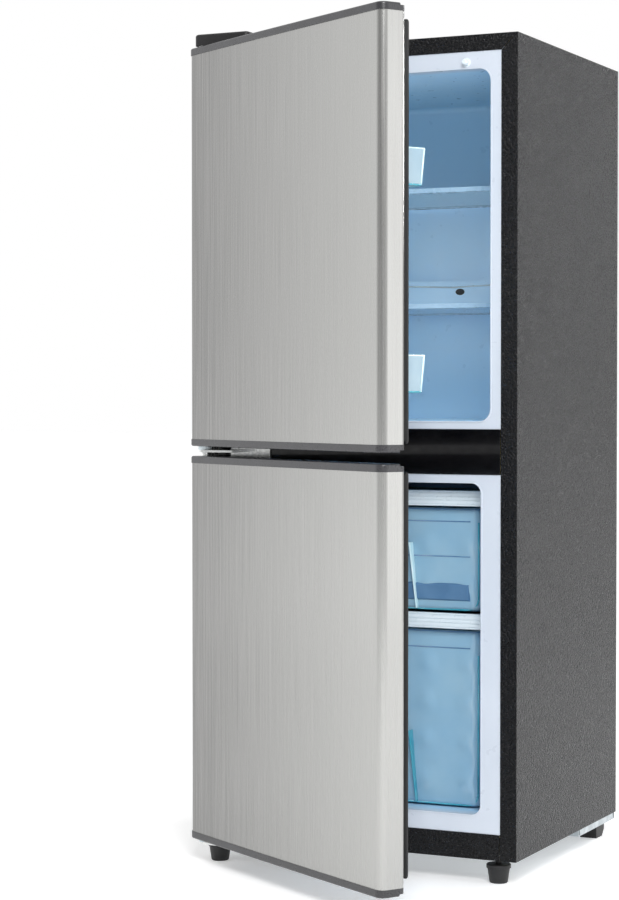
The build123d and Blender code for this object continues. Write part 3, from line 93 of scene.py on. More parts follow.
def makeSurface(name, look):
    # A grained surface: colour and roughness wander with one pattern, and a finer one raises a bump.
    # grain and mottle are sizes in millimetres, and stretch draws the pattern out along x, y or z.
    material = bpy.data.materials.new(name)
    material.use_nodes = True
    tree = material.node_tree
    shader = tree.nodes["Principled BSDF"]
    for socket, value in look.get("shader", {}).items():
        shader.inputs[socket].default_value = value
    coords = addNode(tree, "ShaderNodeTexCoord").outputs["Object"]
    stretch = look.get("stretch", (1, 1, 1))
    turn = addNode(
        tree, "ShaderNodeMapping", {"Rotation": (0, 0, look.get("turn", 0))}, {"Vector": coords}
    )
    drawn = addNode(
        tree,
        "ShaderNodeMapping",
        {"Scale": tuple(1 / s for s in stretch)},
        {"Vector": turn.outputs["Vector"]},
    ).outputs["Vector"]
    mottle = addNode(
        tree, "ShaderNodeTexNoise", {"Scale": 1 / (look["mottle"] * mm), "Detail": 3.0}, {"Vector": drawn}
    ).outputs["Fac"]
    if look.get("cells"):
        grain = addNode(
            tree, "ShaderNodeTexVoronoi", {"Scale": 1 / (look["grain"] * mm)}, {"Vector": drawn}
        ).outputs["Distance"]
    else:
        grain = addNode(
            tree, "ShaderNodeTexNoise", {"Scale": 1 / (look["grain"] * mm), "Detail": 2.0}, {"Vector": drawn}
        ).outputs["Fac"]
    lowest, highest = noiseLimits["mottle"]
    wander = addNode(
        tree,
        "ShaderNodeMapRange",
        {"From Min": lowest, "From Max": highest, "To Min": 0.0, "To Max": 1.0},
        {"Value": mottle},
    ).outputs["Result"]
    colour = addNode(
        tree,
        "ShaderNodeMix",
        {"data_type": "RGBA", 6: toLinear(look["colours"][0]), 7: toLinear(look["colours"][1])},
        {0: wander},
    ).outputs[2]
    lowest, highest = noiseLimits["grain"]
    smoothest, roughest = look["roughness"]
    rough = addNode(
        tree,
        "ShaderNodeMapRange",
        {"From Min": lowest, "From Max": highest, "To Min": smoothest, "To Max": roughest},
        {"Value": grain},
    ).outputs["Result"]
    bump = addNode(
        tree,
        "ShaderNodeBump",
        {"Strength": look.get("bumpStrength", 0.5), "Distance": look.get("bump", 0.02) * mm},
        {"Height": grain},
    )
    if look.get("edge"):
        # a worn, rounded arris: the shader sees each corner as turned over by this radius
        rounded = addNode(tree, "ShaderNodeBevel", {"samples": 4, "Radius": look["edge"] * mm})
        tree.links.new(rounded.outputs["Normal"], bump.inputs["Normal"])
    tree.links.new(colour, shader.inputs["Base Color"])
    tree.links.new(rough, shader.inputs["Roughness"])
    tree.links.new(bump.outputs["Normal"], shader.inputs["Normal"])
    return material, tree, shader, colour, turn.outputs["Vector"]


def tintBeyond(made, axis, depth, fade, hexCode):
    # a second colour for everything that lies beyond a place along one axis, in metres, with a soft change
    material, tree, shader, colour, coords = made
    split = addNode(tree, "ShaderNodeSeparateXYZ", None, {"Vector": coords}).outputs[axis]
    share = addNode(
        tree,
        "ShaderNodeMapRange",
        {"From Min": depth, "From Max": depth + fade, "To Min": 0.0, "To Max": 1.0},
        {"Value": split},
    ).outputs["Result"]
    both = addNode(
        tree, "ShaderNodeMix", {"data_type": "RGBA", 7: toLinear(hexCode)}, {0: share, 6: colour}
    )
    tree.links.new(both.outputs[2], shader.inputs["Base Color"])


looks = {
    # prepainted sheet steel with a leather emboss rolled into it: dark, with small bright glints
    "black_steel": {
        "name": "embossedPaintedSteel",
        "colours": ("#060608", "#0d0d10"),
        "roughness": (0.15, 0.42),
        "mottle": 5.0,
        "grain": 2.6,  # the real grain is near 1 mm, drawn coarser so that it shows
        "bump": 2.6,
        "bumpStrength": 1.0,
        "edge": 1.5,
        "shader": {"IOR": 1.5, "Specular IOR Level": 0.22},
    },
    # gloss black enamel on the centre rail: a mirror-like band of light
    "gloss_rail": {
        "name": "glossBlackEnamel",
        "colours": ("#040406", "#08080a"),
        "roughness": (0.1, 0.2),
        "mottle": 40.0,
        "grain": 9.0,
        "bump": 0.03,
        "edge": 0.9,
        "shader": {"IOR": 1.5, "Specular IOR Level": 0.3, "Coat Weight": 0.25, "Coat Roughness": 0.06},
    },
    # plain grey coated sheet on the back: flat and slightly chalky
    "grey_steel": {
        "name": "greyCoatedSheet",
        "colours": ("#8b8e91", "#96999c"),
        "roughness": (0.4, 0.55),
        "mottle": 60.0,
        "grain": 4.0,
        "bump": 0.05,
        "shader": {"IOR": 1.5},
    },
    # hot-dip galvanised sheet: crystals of zinc catch the light at different angles
    "galvanised_steel": {
        "name": "galvanisedSheet",
        "colours": ("#aab2b7", "#ccd3d7"),
        "roughness": (0.3, 0.55),
        "mottle": 12.0,
        "grain": 14.0,
        "cells": True,
        "bump": 0.05,
        "shader": {"Metallic": 0.85},
    },
    # bright zinc plate on pressed steel: nearly a mirror, with soft dimples from the press
    "zinc_steel": {
        "name": "zincPlatedSteel",
        "colours": ("#c9cbcc", "#e3e4e2"),
        "roughness": (0.12, 0.3),
        "mottle": 8.0,
        "grain": 3.0,
        "bump": 0.04,
        "edge": 0.5,
        "shader": {"Metallic": 1.0},
    },
    # stainless sheet brushed upright: fine vertical streaks, and light drawn out sideways
    "stainless_steel": {
        "name": "brushedStainless",
        "colours": ("#797978", "#929190"),
        "roughness": (0.21, 0.31),
        "turn": doorAngle,
        "stretch": (1, 1, 120),
        "mottle": 1.5,  # real brush lines are under 0.3 mm apart, drawn wider so that they show
        "grain": 1.2,
        "bump": 0.008,
        "bumpStrength": 0.3,
        "shader": {"Metallic": 1.0, "Anisotropic": 0.45},
    },
    # dark grey ABS end caps, semi-gloss from a polished mould
    "grey_cap_plastic": {
        "name": "darkGreyAbs",
        "colours": ("#29292c", "#303034"),
        "roughness": (0.24, 0.36),
        "mottle": 30.0,
        "grain": 2.2,
        "bump": 0.03,
        "edge": 0.8,
        "shader": {"IOR": 1.53, "Specular IOR Level": 0.6},
    },
    # black polypropylene with a fine spark-eroded grain: matt, with a faint sheen
    "black_plastic": {
        "name": "blackPolypropylene",
        "colours": ("#131314", "#1b1b1d"),
        "roughness": (0.42, 0.58),
        "mottle": 20.0,
        "grain": 1.6,
        "bump": 0.06,
        "edge": 0.5,
        "shader": {"IOR": 1.49},
    },
    # white polystyrene mouldings: smooth and a little waxy
    "white_plastic": {
        "name": "whitePolystyrene",
        "colours": ("#d6e3ea", "#e2ecf1"),
        "roughness": (0.25, 0.36),
        "mottle": 40.0,
        "grain": 6.0,
        "bump": 0.02,
        "edge": 0.4,
        "shader": {"IOR": 1.59, "Subsurface Weight": 0.05, "Subsurface Radius": (0.004, 0.004, 0.004)},
    },
    # grey moulded plastic of the tray and the thermostat body
    "grey_plastic": {
        "name": "greyPolypropylene",
        "colours": ("#7d8082", "#888b8e"),
        "roughness": (0.4, 0.52),
        "mottle": 30.0,
        "grain": 2.0,
        "bump": 0.04,
        "shader": {"IOR": 1.49},
    },
    # vacuum-formed high-impact polystyrene: satin, cool white, softly uneven where it was drawn
    "liner_plastic": {
        "name": "formedLinerPolystyrene",
        "colours": ("#c6ced9", "#cfd6e0"),
        "roughness": (0.26, 0.4),
        "mottle": 120.0,
        "grain": 14.0,
        "bump": 0.05,
        "shader": {"IOR": 1.59},
    },
    # frosted clear polystyrene bins: milky faces
    "clear_plastic": {
        "name": "frostedPolystyrene",
        "colours": ("#abc8d8", "#bad3e0"),
        "roughness": (0.3, 0.45),
        "mottle": 30.0,
        "grain": 2.0,
        "bump": 0.03,
        "shader": {"IOR": 1.59, "Transmission Weight": 0.35},
    },
    # clear blue polystyrene drawers: tinted, glossy and almost free of haze
    "blue_clear_plastic": {
        "name": "clearBluePolystyrene",
        "colours": ("#a9d8f4", "#b8e2f8"),
        "roughness": (0.08, 0.18),
        "mottle": 60.0,
        "grain": 18.0,
        "bump": 0.06,
        "shader": {"IOR": 1.59, "Transmission Weight": 0.42},
    },
    # toughened float glass: clear, with a green-blue cast
    "shelf_glass": {
        "name": "toughenedGlass",
        "colours": ("#d7f0ee", "#e0f5f3"),
        "roughness": (0.02, 0.05),
        "mottle": 80.0,
        "grain": 30.0,
        "bump": 0.01,
        "shader": {"IOR": 1.52, "Transmission Weight": 0.95},
    },
    # etched lamp glass: scatters what passes through
    "lamp_glass": {
        "name": "etchedLampGlass",
        "colours": ("#f4f1e4", "#fbf9ee"),
        "roughness": (0.4, 0.55),
        "mottle": 12.0,
        "grain": 1.0,
        "bump": 0.02,
        "shader": {"IOR": 1.5, "Transmission Weight": 0.6},
    },
    # rigid polyurethane foam, as cut: cream with small cells
    "insulation_foam": {
        "name": "polyurethaneFoam",
        "colours": ("#d9c88f", "#e7d9a8"),
        "roughness": (0.8, 0.95),
        "mottle": 20.0,
        "grain": 2.5,
        "cells": True,
        "bump": 0.4,
        "shader": {"IOR": 1.4},
    },
    # soft black vinyl and rubber: deep black, dull, with a slight bloom
    "black_rubber": {
        "name": "blackSealVinyl",
        "colours": ("#0d0d0e", "#171718"),
        "roughness": (0.5, 0.68),
        "mottle": 18.0,
        "grain": 2.0,
        "bump": 0.05,
        "shader": {"IOR": 1.5},
    },
    # satin rolled aluminium plate under the frozen food: soft lines along the roll
    "aluminium_plate": {
        "name": "rolledAluminium",
        "colours": ("#c3c8cc", "#d4d8db"),
        "roughness": (0.3, 0.45),
        "stretch": (40, 1, 1),
        "mottle": 6.0,
        "grain": 2.4,
        "bump": 0.03,
        "shader": {"Metallic": 1.0},
    },
    # stoved black enamel of the compressor and the condenser: semi-gloss with dust in it
    "black_enamel": {
        "name": "stovedBlackEnamel",
        "colours": ("#0c0c0e", "#19191b"),
        "roughness": (0.28, 0.46),
        "mottle": 14.0,
        "grain": 3.2,
        "bump": 0.08,
        "shader": {"IOR": 1.5},
    },
    # drawn copper tube that has begun to tarnish
    "copper_tube": {
        "name": "drawnCopper",
        "colours": ("#a8623f", "#c98a62"),
        "roughness": (0.22, 0.42),
        "mottle": 10.0,
        "grain": 3.0,
        "bump": 0.03,
        "shader": {"Metallic": 1.0},
    },
}

# painted light: the front faces of the wrap get a colour of their own for how the light falls on them, though the
# sheet is the same all round
flangePaintedLight = {"colour": "#1e1f21", "depth": 1.2, "fade": 0.3}  # the front faces of the wrap stay darker
linerShade = {"colour": "#bfe3fd", "depth": 4.0, "fade": 26.0}  # the plastic looks bluer inside, in shade
# the brushed sheets are lighter at the free edge: this stands for light that falls off towards the hinge
sheetSheen = {"colour": "#b0b0ae"}

surfaces = {}
for slotName, look in looks.items():
    made = makeSurface(look["name"], look)
    if slotName == "liner_plastic":
        depth = cabinetCorner.y + linerShade["depth"] * mm
        tintBeyond(made, "Y", depth, linerShade["fade"] * mm, linerShade["colour"])
    # painted light on the wrap's front faces
    if slotName == "black_steel":
        depth = cabinetCorner.y + flangePaintedLight["depth"] * mm
        tintBeyond(made, "Y", depth, flangePaintedLight["fade"] * mm, flangePaintedLight["colour"])
    if slotName == "stainless_steel":
        turned = Matrix.Rotation(doorAngle, 4, "Z")
        start, end = (corner.x for corner in spanOf("upper_door_skin", turned))
        tintBeyond(made, "X", start, end - start, sheetSheen["colour"])
    surfaces[slotName] = made[0]

# the moulded strip of the glass shelves: the same white plastic, bluer for the shade that it sits in
shelfTrimPlastic = makeSurface("shelfTrimPolystyrene", {
    "colours": ("#93b3cb", "#a3c0d5"), "roughness": (0.22, 0.34), "mottle": 60.0, "grain": 8.0, "bump": 0.02,
    "shader": {"IOR": 1.59},
})[0]

slotOf = {part["node"]: part["material_slot"] for part in frame["record"]["subparts"]}
for nodeName, nodeObject in nodes.items():
    nodeObject.data.materials.clear()
    trim = nodeName.startswith("fridge_shelf") and slotOf[nodeName] == "white_plastic"
    nodeObject.data.materials.append(shelfTrimPlastic if trim else surfaces[slotOf[nodeName]])
print("materials made:", len(surfaces))


def addPiece(name, mesh, body, slotName, material=None, smooth=True):
    piece = bpy.data.objects.new(name, mesh)
    bpy.context.scene.collection.objects.link(piece)
    mesh.materials.append(material or surfaces[slotName])
    if smooth:
        for polygon in mesh.polygons:
            polygon.use_smooth = True
    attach(piece, body)
    return piece


def roundedPath(left, right, low, high, radius, arcSteps, sideSteps=1):
    # points and outward normals round a rectangle with soft corners, anticlockwise
    path = []
    corners = ((right - radius, low + radius, -90), (right - radius, high - radius, 0),
               (left + radius, high - radius, 90), (left + radius, low + radius, 180))
    for index, (x, z, start) in enumerate(corners):
        for step in range(arcSteps + 1):
            angle = math.radians(start + 90 * step / arcSteps)
            normal = (math.cos(angle), math.sin(angle))
            path.append(((x + radius * normal[0], z + radius * normal[1]), normal))
        nextX, nextZ, nextStart = corners[(index + 1) % 4]
        angle = math.radians(nextStart)
        normal = (math.cos(angle), math.sin(angle))
        here = path[-1][0]
        there = (nextX + radius * normal[0], nextZ + radius * normal[1])
        for step in range(1, sideSteps):
            share = step / sideSteps
            point = tuple(a + (b - a) * share for a, b in zip(here, there))
            path.append((point, normal))
    return path


def skinRings(shape, rings, capFirst, capLast):
    # a skin over rings of points, closed round each ring
    rows = [[shape.verts.new(point) for point in ring] for ring in rings]
    for one, two in zip(rows, rows[1:]):
        for index in range(len(one)):
            after = (index + 1) % len(one)
            shape.faces.new((one[index], one[after], two[after], two[index]))
    if capFirst:
        shape.faces.new(rows[0][::-1])
    if capLast:
        shape.faces.new(rows[-1])


def meshFrom(shape, name):
    bmesh.ops.recalc_face_normals(shape, faces=shape.faces)
    mesh = bpy.data.meshes.new(name)
    shape.to_mesh(mesh)
    shape.free()
    return mesh


def loftRings(name, rings, capFirst=False, capLast=False):
    shape = bmesh.new()
    skinRings(shape, rings, capFirst, capLast)
    return meshFrom(shape, name)


beadSides = 8


def makeBeads(name, body, slotName, material, lines, radius):
    # straight round beads, one along each line, in a single piece
    shape = bmesh.new()
    angles = [2 * math.pi * turn / beadSides for turn in range(beadSides)]
    for start, end in lines:
        along = (end - start).normalized()
        upright = abs(along.z) >= 0.9
        across = along.cross(Vector((1, 0, 0)) if upright else Vector((0, 0, 1))).normalized()
        other = along.cross(across)
        skinRings(shape, [[place + radius * (across * math.cos(a) + other * math.sin(a)) for a in angles]
                          for place in (start, end)], True, True)
    return addPiece(name, meshFrom(shape, name), body, slotName, material)


# Door seals: a hollow vinyl bellows with a flat magnet band, mitred round the back of each door.
seal = {"corner": 4.5, "arcSteps": 6, "weld": 0.01}
# the section, as (inward from the outer edge, depth from the door as a share)
sealSection = (
    (2.0, 0.0), (2.2, 0.14), (3.6, 0.3), (3.4, 0.44), (0.5, 0.6), (0.0, 0.7), (0.0, 0.9),
    (0.8, 1.0), (3.4, 1.0), (4.0, 0.94), (10.0, 0.94), (10.6, 1.0), (13.2, 1.0), (14.0, 0.9),
    (14.0, 0.7), (13.5, 0.6), (10.6, 0.44), (10.4, 0.3), (11.8, 0.14), (12.0, 0.0),
)


def makeSeal(doorName):
    node = doorName + "_gasket"
    low, high = spanOf(node, shutDoor)
    path = roundedPath(low.x, high.x, low.z, high.z, seal["corner"] * mm, seal["arcSteps"])
    rings = []
    for (x, z), (outX, outZ) in path:
        ring = []
        for inward, share in sealSection:
            y = low.y + (high.y - low.y) * share
            ring.append(openDoor @ Vector((x - outX * inward * mm, y, z - outZ * inward * mm)))
        rings.append(ring)
    mesh = loftRings(doorName + "Seal", rings + [rings[0]])
    shape = bmesh.new()
    shape.from_mesh(mesh)
    bmesh.ops.remove_doubles(shape, verts=shape.verts, dist=seal["weld"] * mm)
    shape.to_mesh(mesh)
    shape.free()
    piece = addPiece(doorName + "Seal", mesh, doorName, "black_rubber")
    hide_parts(node)


for doorName in ("upper_door", "lower_door"):
    makeSeal(doorName)
print("door seals made")

# clear blue polystyrene seen edge on: a thick edge gathers light, so it reads as saturated cyan
edgePlastic = makeSurface("edgeBluePolystyrene", {
    "colours": ("#3fb6d0", "#6fd2e6"),
    "roughness": (0.08, 0.16),
    "mottle": 30.0,
    "grain": 8.0,
    "bump": 0.02,
    "shader": {"IOR": 1.59, "Transmission Weight": 0.35},
})[0]

# painted highlight: frosted polystyrene seen edge on, drawn almost white with a touch of cyan for the light that
# its thick edge gathers
binEdgeHighlight = makeSurface("binEdgeHighlightPolystyrene", {
    "colours": ("#c9eef6", "#e2f8fb"),
    "roughness": (0.1, 0.2),
    "mottle": 20.0,
    "grain": 6.0,
    "bump": 0.02,
    "shader": {"IOR": 1.59},
})[0]

# Door bins: thick beads run round the rim, down the corners and round the floor, and gather the light.
binBead = {"radius": 1.3, "inset": 1.0, "floorRadius": 1.5, "footBand": 1.0}

for level in ("upper", "lower"):
    node = "door_bin_" + level
    low, high = spanOf(node, shutDoor)
    points = [shutDoor @ vertex.co for vertex in nodes[node].data.vertices]
    inset = binBead["inset"] * mm
    footReach = max(point.y for point in points if point.z < low.z + binBead["footBand"] * mm)
    left, right, back = low.x + inset, high.x - inset, low.y + inset
    top, foot = high.z - inset, low.z + inset
    rim = [Vector((left, back, top)), Vector((right, back, top)),
           Vector((right, high.y - inset, top)), Vector((left, high.y - inset, top))]
    base = [Vector((left, back, foot)), Vector((right, back, foot)),
            Vector((right, footReach - inset, foot)), Vector((left, footReach - inset, foot))]
    rim, base = [openDoor @ point for point in rim], [openDoor @ point for point in base]
    upright = list(zip(base, rim))
    body = "bin_" + level
    makeBeads(body + "Rim", body, "clear_plastic", binEdgeHighlight,
              list(zip(rim, rim[1:] + rim[:1])) + upright, binBead["radius"] * mm)
    makeBeads(body + "Floor", body, "clear_plastic", edgePlastic,
              list(zip(base, base[1:] + base[:1])), binBead["floorRadius"] * mm)
print("door bins edged")

# Freezer drawers: thin clear blue shells with round ice-breaking pads pressed out of every wall.
drawer = {
    "gripReach": 12.0, "wall": 2.2, "corner": 14.0, "arcSteps": 5, "floorRound": 6.0, "step": 5.0,
    "floorShares": (0.25, 0.5, 0.75, 0.92), "roundSteps": 3,
    "padPitch": (57.0, 51.0), "padRadius": 19.0, "padRise": 2.4, "padFirst": 34.0, "padTopShare": 0.7,
    "rimWidth": 3.0, "rimHeight": 3.4, "rimSides": 10,
    "edgeBead": 1.3, "beadTop": 0.86, "beadSteps": 6,
    "lineBead": 0.8,
    "lines": {"upper": (0.53, 0.87), "lower": (0.9,)},  # ridges across the front, as shares of its height
    "shadeBand": {"upper": (0.1, 0.27)},  # a dark band of painted shade across the upper drawer's front, as shares of its height
    "shadeBandProud": 0.4, "shadeBandSlope": 2.0,
    "ribDepth": 9.0, "ribWidth": 2.0, "ribLow": 73.0, "ribHigh": 65.0, "ribSoften": 0.6,
    "ribShares": (0.03, 0.5, 1.0), "ribFootDepth": 0.35,
    "ribTop": {"upper": 0.66, "lower": 0.42},
}

# clear blue polystyrene with shade behind it: a deeper, greyer blue
shadedBluePlastic = makeSurface("shadedBluePolystyrene", {
    "colours": ("#4b7196", "#5a81a5"),
    "roughness": (0.14, 0.26),
    "mottle": 40.0,
    "grain": 8.0,
    "bump": 0.03,
    "shader": {"IOR": 1.59},
})[0]


def padHeight(along, up, height):
    # how far a round pad stands out at a place on a wall
    pitchAlong, pitchUp = drawer["padPitch"]
    highest = height - drawer["padFirst"] * drawer["padTopShare"]
    if up < drawer["padFirst"] - drawer["padRadius"] or up > highest:
        return 0.0
    nearAlong = (along / pitchAlong - round(along / pitchAlong)) * pitchAlong
    rows = (up - drawer["padFirst"]) / pitchUp
    nearUp = (rows - round(rows)) * pitchUp
    share = math.hypot(nearAlong, nearUp) / drawer["padRadius"]
    return drawer["padRise"] * (1 + math.cos(math.pi * share)) / 2 if share < 1 else 0.0


def makeDrawerShell(body, low, high, front, path):
    middle = (low.x + high.x) / 2
    height = (high.z - low.z) / mm
    centre = Vector((middle, (front + high.y) / 2, 0))
    rings = []
    for share in drawer["floorShares"]:
        rings.append([Vector((centre.x + (x - centre.x) * share, centre.y + (y - centre.y) * share, low.z))
                      for (x, y), normal in path])
    roundIn = drawer["floorRound"] * mm
    for turn in range(drawer["roundSteps"] + 1):  # the rounded foot of the walls
        angle = math.radians(90 * turn / drawer["roundSteps"])
        pull = roundIn * (1 - math.sin(angle))
        rings.append([Vector((x - nx * pull, y - ny * pull, low.z + roundIn * (1 - math.cos(angle))))
                      for (x, y), (nx, ny) in path])
    wallSteps = int((height - drawer["floorRound"] - drawer["rimHeight"]) / drawer["step"])
    for step in range(1, wallSteps + 1):
        up = drawer["floorRound"] + (height - drawer["floorRound"]) * step / wallSteps
        ring = []
        for (x, y), (nx, ny) in path:
            onFlat = max(abs(nx), abs(ny)) > 0.999
            along = ((x - middle) if abs(ny) > 0.5 else (y - centre.y)) / mm
            out = padHeight(along - drawer["padPitch"][0] / 2, up, height) * mm if onFlat else 0.0
            ring.append(Vector((x + nx * out, y + ny * out, low.z + up * mm)))
        rings.append(ring)
    mesh = loftRings(body + "Shell", rings, capFirst=True)
    shell = addPiece(body + "Shell", mesh, body, "blue_clear_plastic")
    thicken = shell.modifiers.new("wall", "SOLIDIFY")
    thicken.thickness = drawer["wall"] * mm
    thicken.offset = -1.0
    return shell


def makeDrawerRim(body, high, path):
    rings = []
    half = drawer["rimWidth"] * mm / 2
    tall = drawer["rimHeight"] * mm
    for (x, y), (nx, ny) in path:
        ring = []
        for turn in range(drawer["rimSides"]):
            angle = 2 * math.pi * turn / drawer["rimSides"]
            out = half * math.cos(angle) - drawer["wall"] * mm / 2
            ring.append(Vector((x + nx * out, y + ny * out, high.z - tall / 2 + tall / 2 * math.sin(angle))))
        rings.append(ring)
    rim = loftRings(body + "Rim", rings + [rings[0]])
    # the rim takes the shaded blue: painted shade where the drawer's top runs under the trim
    addPiece(body + "Rim", rim, body, "blue_clear_plastic", shadedBluePlastic)


def makeDrawerFront(body, level, low, high, face):
    # beads down the front corners and round the foot, fine ridges across, and a dark band of painted shade
    tall = high.z - low.z
    inset, corner, foot = (drawer[key] * mm for key in ("padRise", "corner", "floorRound"))
    slack = 1 - math.sqrt(0.5)  # how far the middle of a rounding lies in, as a share of its radius
    sideX = (low.x + inset + corner * slack, high.x - inset - corner * slack)
    cornerY, footZ = face + corner * slack, low.z + foot * slack
    steps = drawer["beadSteps"]
    outline = []
    for x, turn in ((sideX[0], 1), (sideX[1], -1)):
        side = [Vector((x, cornerY, low.z + tall * drawer["beadTop"]))]
        for step in range(steps + 1):
            angle = math.radians(90 * step / steps)
            inX = corner * (1 - math.cos(angle))
            deep = (cornerY - face) * (1 - step / steps) + foot * slack * step / steps
            side.append(Vector((x + turn * inX, face + deep, footZ + corner * (1 - math.sin(angle)))))
        outline += side if turn > 0 else side[::-1]
    makeBeads(body + "FrontBead", body, "blue_clear_plastic", edgePlastic, list(zip(outline, outline[1:])),
              drawer["edgeBead"] * mm)
    left, right = low.x + inset + corner, high.x - inset - corner
    ridges = []
    for share in drawer["lines"][level]:
        ridges.append([Vector((x, face, low.z + tall * share)) for x in (left, right)])
    makeBeads(body + "Ridges", body, "blue_clear_plastic", shadedBluePlastic, ridges, drawer["lineBead"] * mm)
    # a dark plate of painted shade, standing a little proud of the upper drawer's front
    if level in drawer["shadeBand"]:
        lowZ, highZ = (low.z + tall * share for share in drawer["shadeBand"][level])
        proud = (drawer["padRise"] + drawer["shadeBandProud"]) * mm
        rings = []
        for y, slope in ((face, 0), (face - proud, drawer["shadeBandSlope"] * mm)):
            rings.append([(left + slope, y, lowZ + slope), (right - slope, y, lowZ + slope),
                          (right - slope, y, highZ - slope), (left + slope, y, highZ - slope)])
        mesh = loftRings(body + "ShadeBand", rings, capFirst=True, capLast=True)
        addPiece(body + "ShadeBand", mesh, body, "blue_clear_plastic", shadedBluePlastic, False)


def makeDrawerRibs(body, level, low, high, front):
    # two slanted ribs that stand out of the front
    middle = (low.x + high.x) / 2
    face = front + drawer["padRise"] * mm
    halfWide = drawer["ribWidth"] * mm / 2
    for turn, side in ((-1, "L"), (1, "R")):
        rings = []
        for share in drawer["ribShares"]:
            z = low.z + (high.z - low.z) * share * drawer["ribTop"][level]
            deep = drawer["ribDepth"] * (drawer["ribFootDepth"] + (1 - drawer["ribFootDepth"]) * share) * mm
            # the lowest place keeps the foot's offset, and the others run evenly up to the top's
            run = 0 if share == drawer["ribShares"][0] else share
            x = middle + turn * (drawer["ribLow"] + (drawer["ribHigh"] - drawer["ribLow"]) * run) * mm
            rings.append([(x - halfWide, face, z), (x + halfWide, face, z),
                          (x + halfWide, front - deep, z), (x - halfWide, front - deep, z)])
        mesh = loftRings(body + "Rib", rings, capFirst=True, capLast=True)
        # the upper drawer's ribs take the pale edge colour, a painted highlight
        rib = addPiece(body + "Rib" + side, mesh, body, "blue_clear_plastic",
                       binEdgeHighlight if level == "upper" else edgePlastic, False)
        soften = rib.modifiers.new("soften", "BEVEL")
        soften.width = drawer["ribSoften"] * mm
        soften.segments = 2


for level in ("upper", "lower"):
    node = "freezer_drawer_" + level
    body = "drawer_" + level
    low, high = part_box(node)
    front = low.y + drawer["gripReach"] * mm
    inset = drawer["padRise"] * mm
    sideSteps = max(2, int(max(high.x - low.x, high.y - front) / mm / drawer["step"]))
    path = roundedPath(low.x + inset, high.x - inset, front + inset, high.y - inset, drawer["corner"] * mm,
                       drawer["arcSteps"], sideSteps)
    shell = makeDrawerShell(body, low, high, front, path)
    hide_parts(node)
    makeDrawerRim(body, high, path)
    makeDrawerFront(body, level, low, high, front + inset)
    makeDrawerRibs(body, level, low, high, front)
print("freezer drawers made")

# The back wall's gutter: a rounded lip along its shallow V, a painted highlight in the lighter white plastic, and
# a black disc below it, painted shade for the drain's dark mouth.
gutter = {
    "rise": 203.5, "drop": 7.4, "fromBack": 18.0, "endInset": 4.0, "sheet": 1.5, "lip": 1.2,
    "mouthAt": 12.5, "mouthWide": 7.0, "mouthHigh": 4.6, "mouthDrop": 6.5, "mouthSides": 20,
    "mouthRings": ((1.0, 0.0), (0.92, 0.7), (0.7, 0.9)),  # share of its size, and how far off the wall
}
linerLow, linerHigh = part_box("fridge_liner")
wallY = linerHigh.y - (gutter["sheet"] + gutter["fromBack"]) * mm
lipZ = linerLow.z + (gutter["sheet"] + gutter["rise"]) * mm
lowestZ = lipZ - gutter["drop"] * mm
lipEnd = (gutter["sheet"] + gutter["endInset"]) * mm
middleX = (linerLow.x + linerHigh.x) / 2
lipPoints = [Vector((linerLow.x + lipEnd, wallY, lipZ)), Vector((middleX, wallY, lowestZ)),
             Vector((linerHigh.x - lipEnd, wallY, lipZ))]
# the lip takes the white plastic, lighter than the bluer liner round it: a painted highlight along the V
makeBeads("gutterLip", "cabinet", "liner_plastic", surfaces["white_plastic"],
          list(zip(lipPoints, lipPoints[1:])), gutter["lip"] * mm)
mouthX, mouthZ = middleX + gutter["mouthAt"] * mm, lowestZ - gutter["mouthDrop"] * mm
angles = [2 * math.pi * turn / gutter["mouthSides"] for turn in range(gutter["mouthSides"])]
rings = []
for share, proud in gutter["mouthRings"]:
    wide, high = gutter["mouthWide"] * share * mm, gutter["mouthHigh"] * share * mm
    rings.append([Vector((mouthX + wide * math.cos(a), wallY - proud * mm, mouthZ + high * math.sin(a)))
                  for a in angles])
# a black disc a little proud of the wall: painted shade where the drain's opening would look dark
mouthMesh = loftRings("drainMouth", rings, capFirst=True, capLast=True)
addPiece("drainMouth", mouthMesh, "cabinet", "black_plastic")
print("gutter lip made")

studio = {
    "floorSize": 60.0, "floorColour": "#f6f6f6", "floorGlow": 0.28,
    "skyBack": 1.0, "skyFront": 0.36,  # brightness of the room behind the fridge, and in front of it
    "skyTurn": (-1.0, 0.15),  # from where to where along y the one turns into the other
    # a dark flag behind on the right, which the side panel reflects: its direction, and how much it dims
    "flag": (0.4, 0.9, 0.0), "flagDim": 0.35, "flagStart": 0.8, "flagFull": 0.95,
    "lights": (
        # name, place, aim, size, watts
        ("keyLight", (-2.8, -0.4, 1.0), (0, 0, 0.6), 2.6, 7.0),
        ("rightLight", (2.8, 0.0, 0.9), (0.3, -0.1, 0.6), 1.6, 7.0),
        ("glintLight", (1.7, 2.5, 1.35), (0.3, 0.1, 0.6), 0.35, 16.0),
        ("frontLight", (1.5, -2.7, 2.5), (0.2, 0, 0.5), 1.2, 88.0),
        # a small light in the fresh food space, hidden from the camera, for the glow that comes from there
        ("foodLight", cabinetCorner + Vector((50, 30, 760)) * mm,
         cabinetCorner + Vector((330, 300, 740)) * mm, 0.3, 0.8),
    ),
}

floorMesh = bpy.data.meshes.new("floor")
half = studio["floorSize"] / 2
floorCorners = [(-half, -half, 0), (half, -half, 0), (half, half, 0), (-half, half, 0)]
floorMesh.from_pydata(floorCorners, [], [(0, 1, 2, 3)])
floor = bpy.data.objects.new("floor", floorMesh)
bpy.context.scene.collection.objects.link(floor)
floorMesh.materials.append(makeSurface("paleStudioFloor", {
    "colours": (studio["floorColour"], studio["floorColour"]),
    "roughness": (0.7, 0.8),
    "mottle": 300.0,
    "grain": 60.0,
    "bump": 0.0,
    "shader": {
        "IOR": 1.4, "Specular IOR Level": 0.2, "Emission Color": (1, 1, 1, 1),
        "Emission Strength": studio["floorGlow"],
    },
})[0])

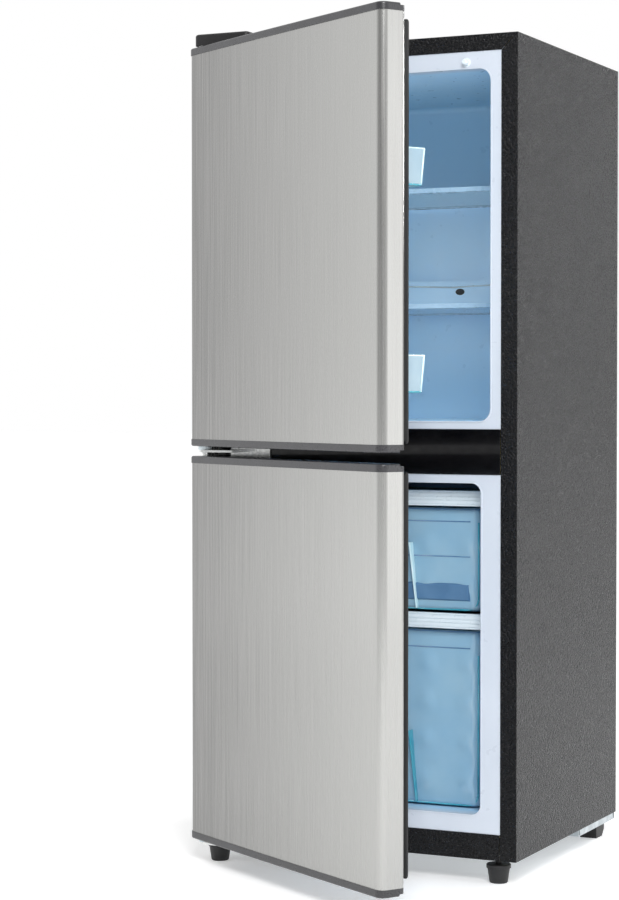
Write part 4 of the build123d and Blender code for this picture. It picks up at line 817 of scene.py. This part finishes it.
world = bpy.data.worlds.new("studioRoom")
bpy.context.scene.world = world
world.use_nodes = True
sky = world.node_tree
direction = addNode(sky, "ShaderNodeTexCoord").outputs["Generated"]
towards = addNode(sky, "ShaderNodeSeparateXYZ", None, {"Vector": direction}).outputs["Y"]
bright = addNode(
    sky,
    "ShaderNodeMapRange",
    {
        "From Min": studio["skyTurn"][0], "From Max": studio["skyTurn"][1],
        "To Min": studio["skyFront"], "To Max": studio["skyBack"],
    },
    {"Value": towards},
).outputs["Result"]
sky.nodes["Background"].inputs["Color"].default_value = (1, 1, 1, 1)
flagged = addNode(
    sky,
    "ShaderNodeVectorMath",
    {"operation": "DOT_PRODUCT", 1: Vector(studio["flag"]).normalized()},
    {0: direction},
).outputs["Value"]
dim = addNode(
    sky,
    "ShaderNodeMapRange",
    {
        "From Min": studio["flagStart"], "From Max": studio["flagFull"],
        "To Min": 1.0, "To Max": studio["flagDim"],
    },
    {"Value": flagged},
).outputs["Result"]
lighting = addNode(sky, "ShaderNodeMath", {"operation": "MULTIPLY"}, {0: bright, 1: dim}).outputs["Value"]
seenDirect = addNode(sky, "ShaderNodeLightPath").outputs["Is Camera Ray"]  # the backdrop itself stays white
strength = addNode(
    sky, "ShaderNodeMath", {"operation": "MAXIMUM"}, {0: lighting, 1: seenDirect}
).outputs["Value"]
sky.links.new(strength, sky.nodes["Background"].inputs["Strength"])

for lightName, place, aim, size, watts in studio["lights"]:
    lamp = bpy.data.lights.new(lightName, "AREA")
    lamp.shape = "SQUARE"
    lamp.size = size
    lamp.energy = watts
    holder = bpy.data.objects.new(lightName, lamp)
    holder.location = place
    holder.visible_camera = False
    holder.rotation_euler = (Vector(aim) - Vector(place)).to_track_quat("-Z", "Y").to_euler()
    bpy.context.scene.collection.objects.link(holder)

view = {
    "fromCorner": (1475.4, -2719.6, 592.9),  # millimetres from the cabinet's front left low corner
    "yaw": 25.83, "pitch": 1.37, "focal": 91.75, "sensor": 36.0,
}
cameraData = bpy.data.cameras.new("camera")
cameraData.sensor_fit = "VERTICAL"
cameraData.sensor_height = view["sensor"]
cameraData.lens = view["focal"]
camera = bpy.data.objects.new("camera", cameraData)
camera.location = cabinetCorner + Vector(view["fromCorner"]) * mm
camera.rotation_euler = (math.radians(90 - view["pitch"]), 0, math.radians(view["yaw"]))
bpy.context.scene.collection.objects.link(camera)
bpy.context.scene.camera = camera
bpy.context.scene.view_settings.view_transform = "Standard"
print("studio ready")
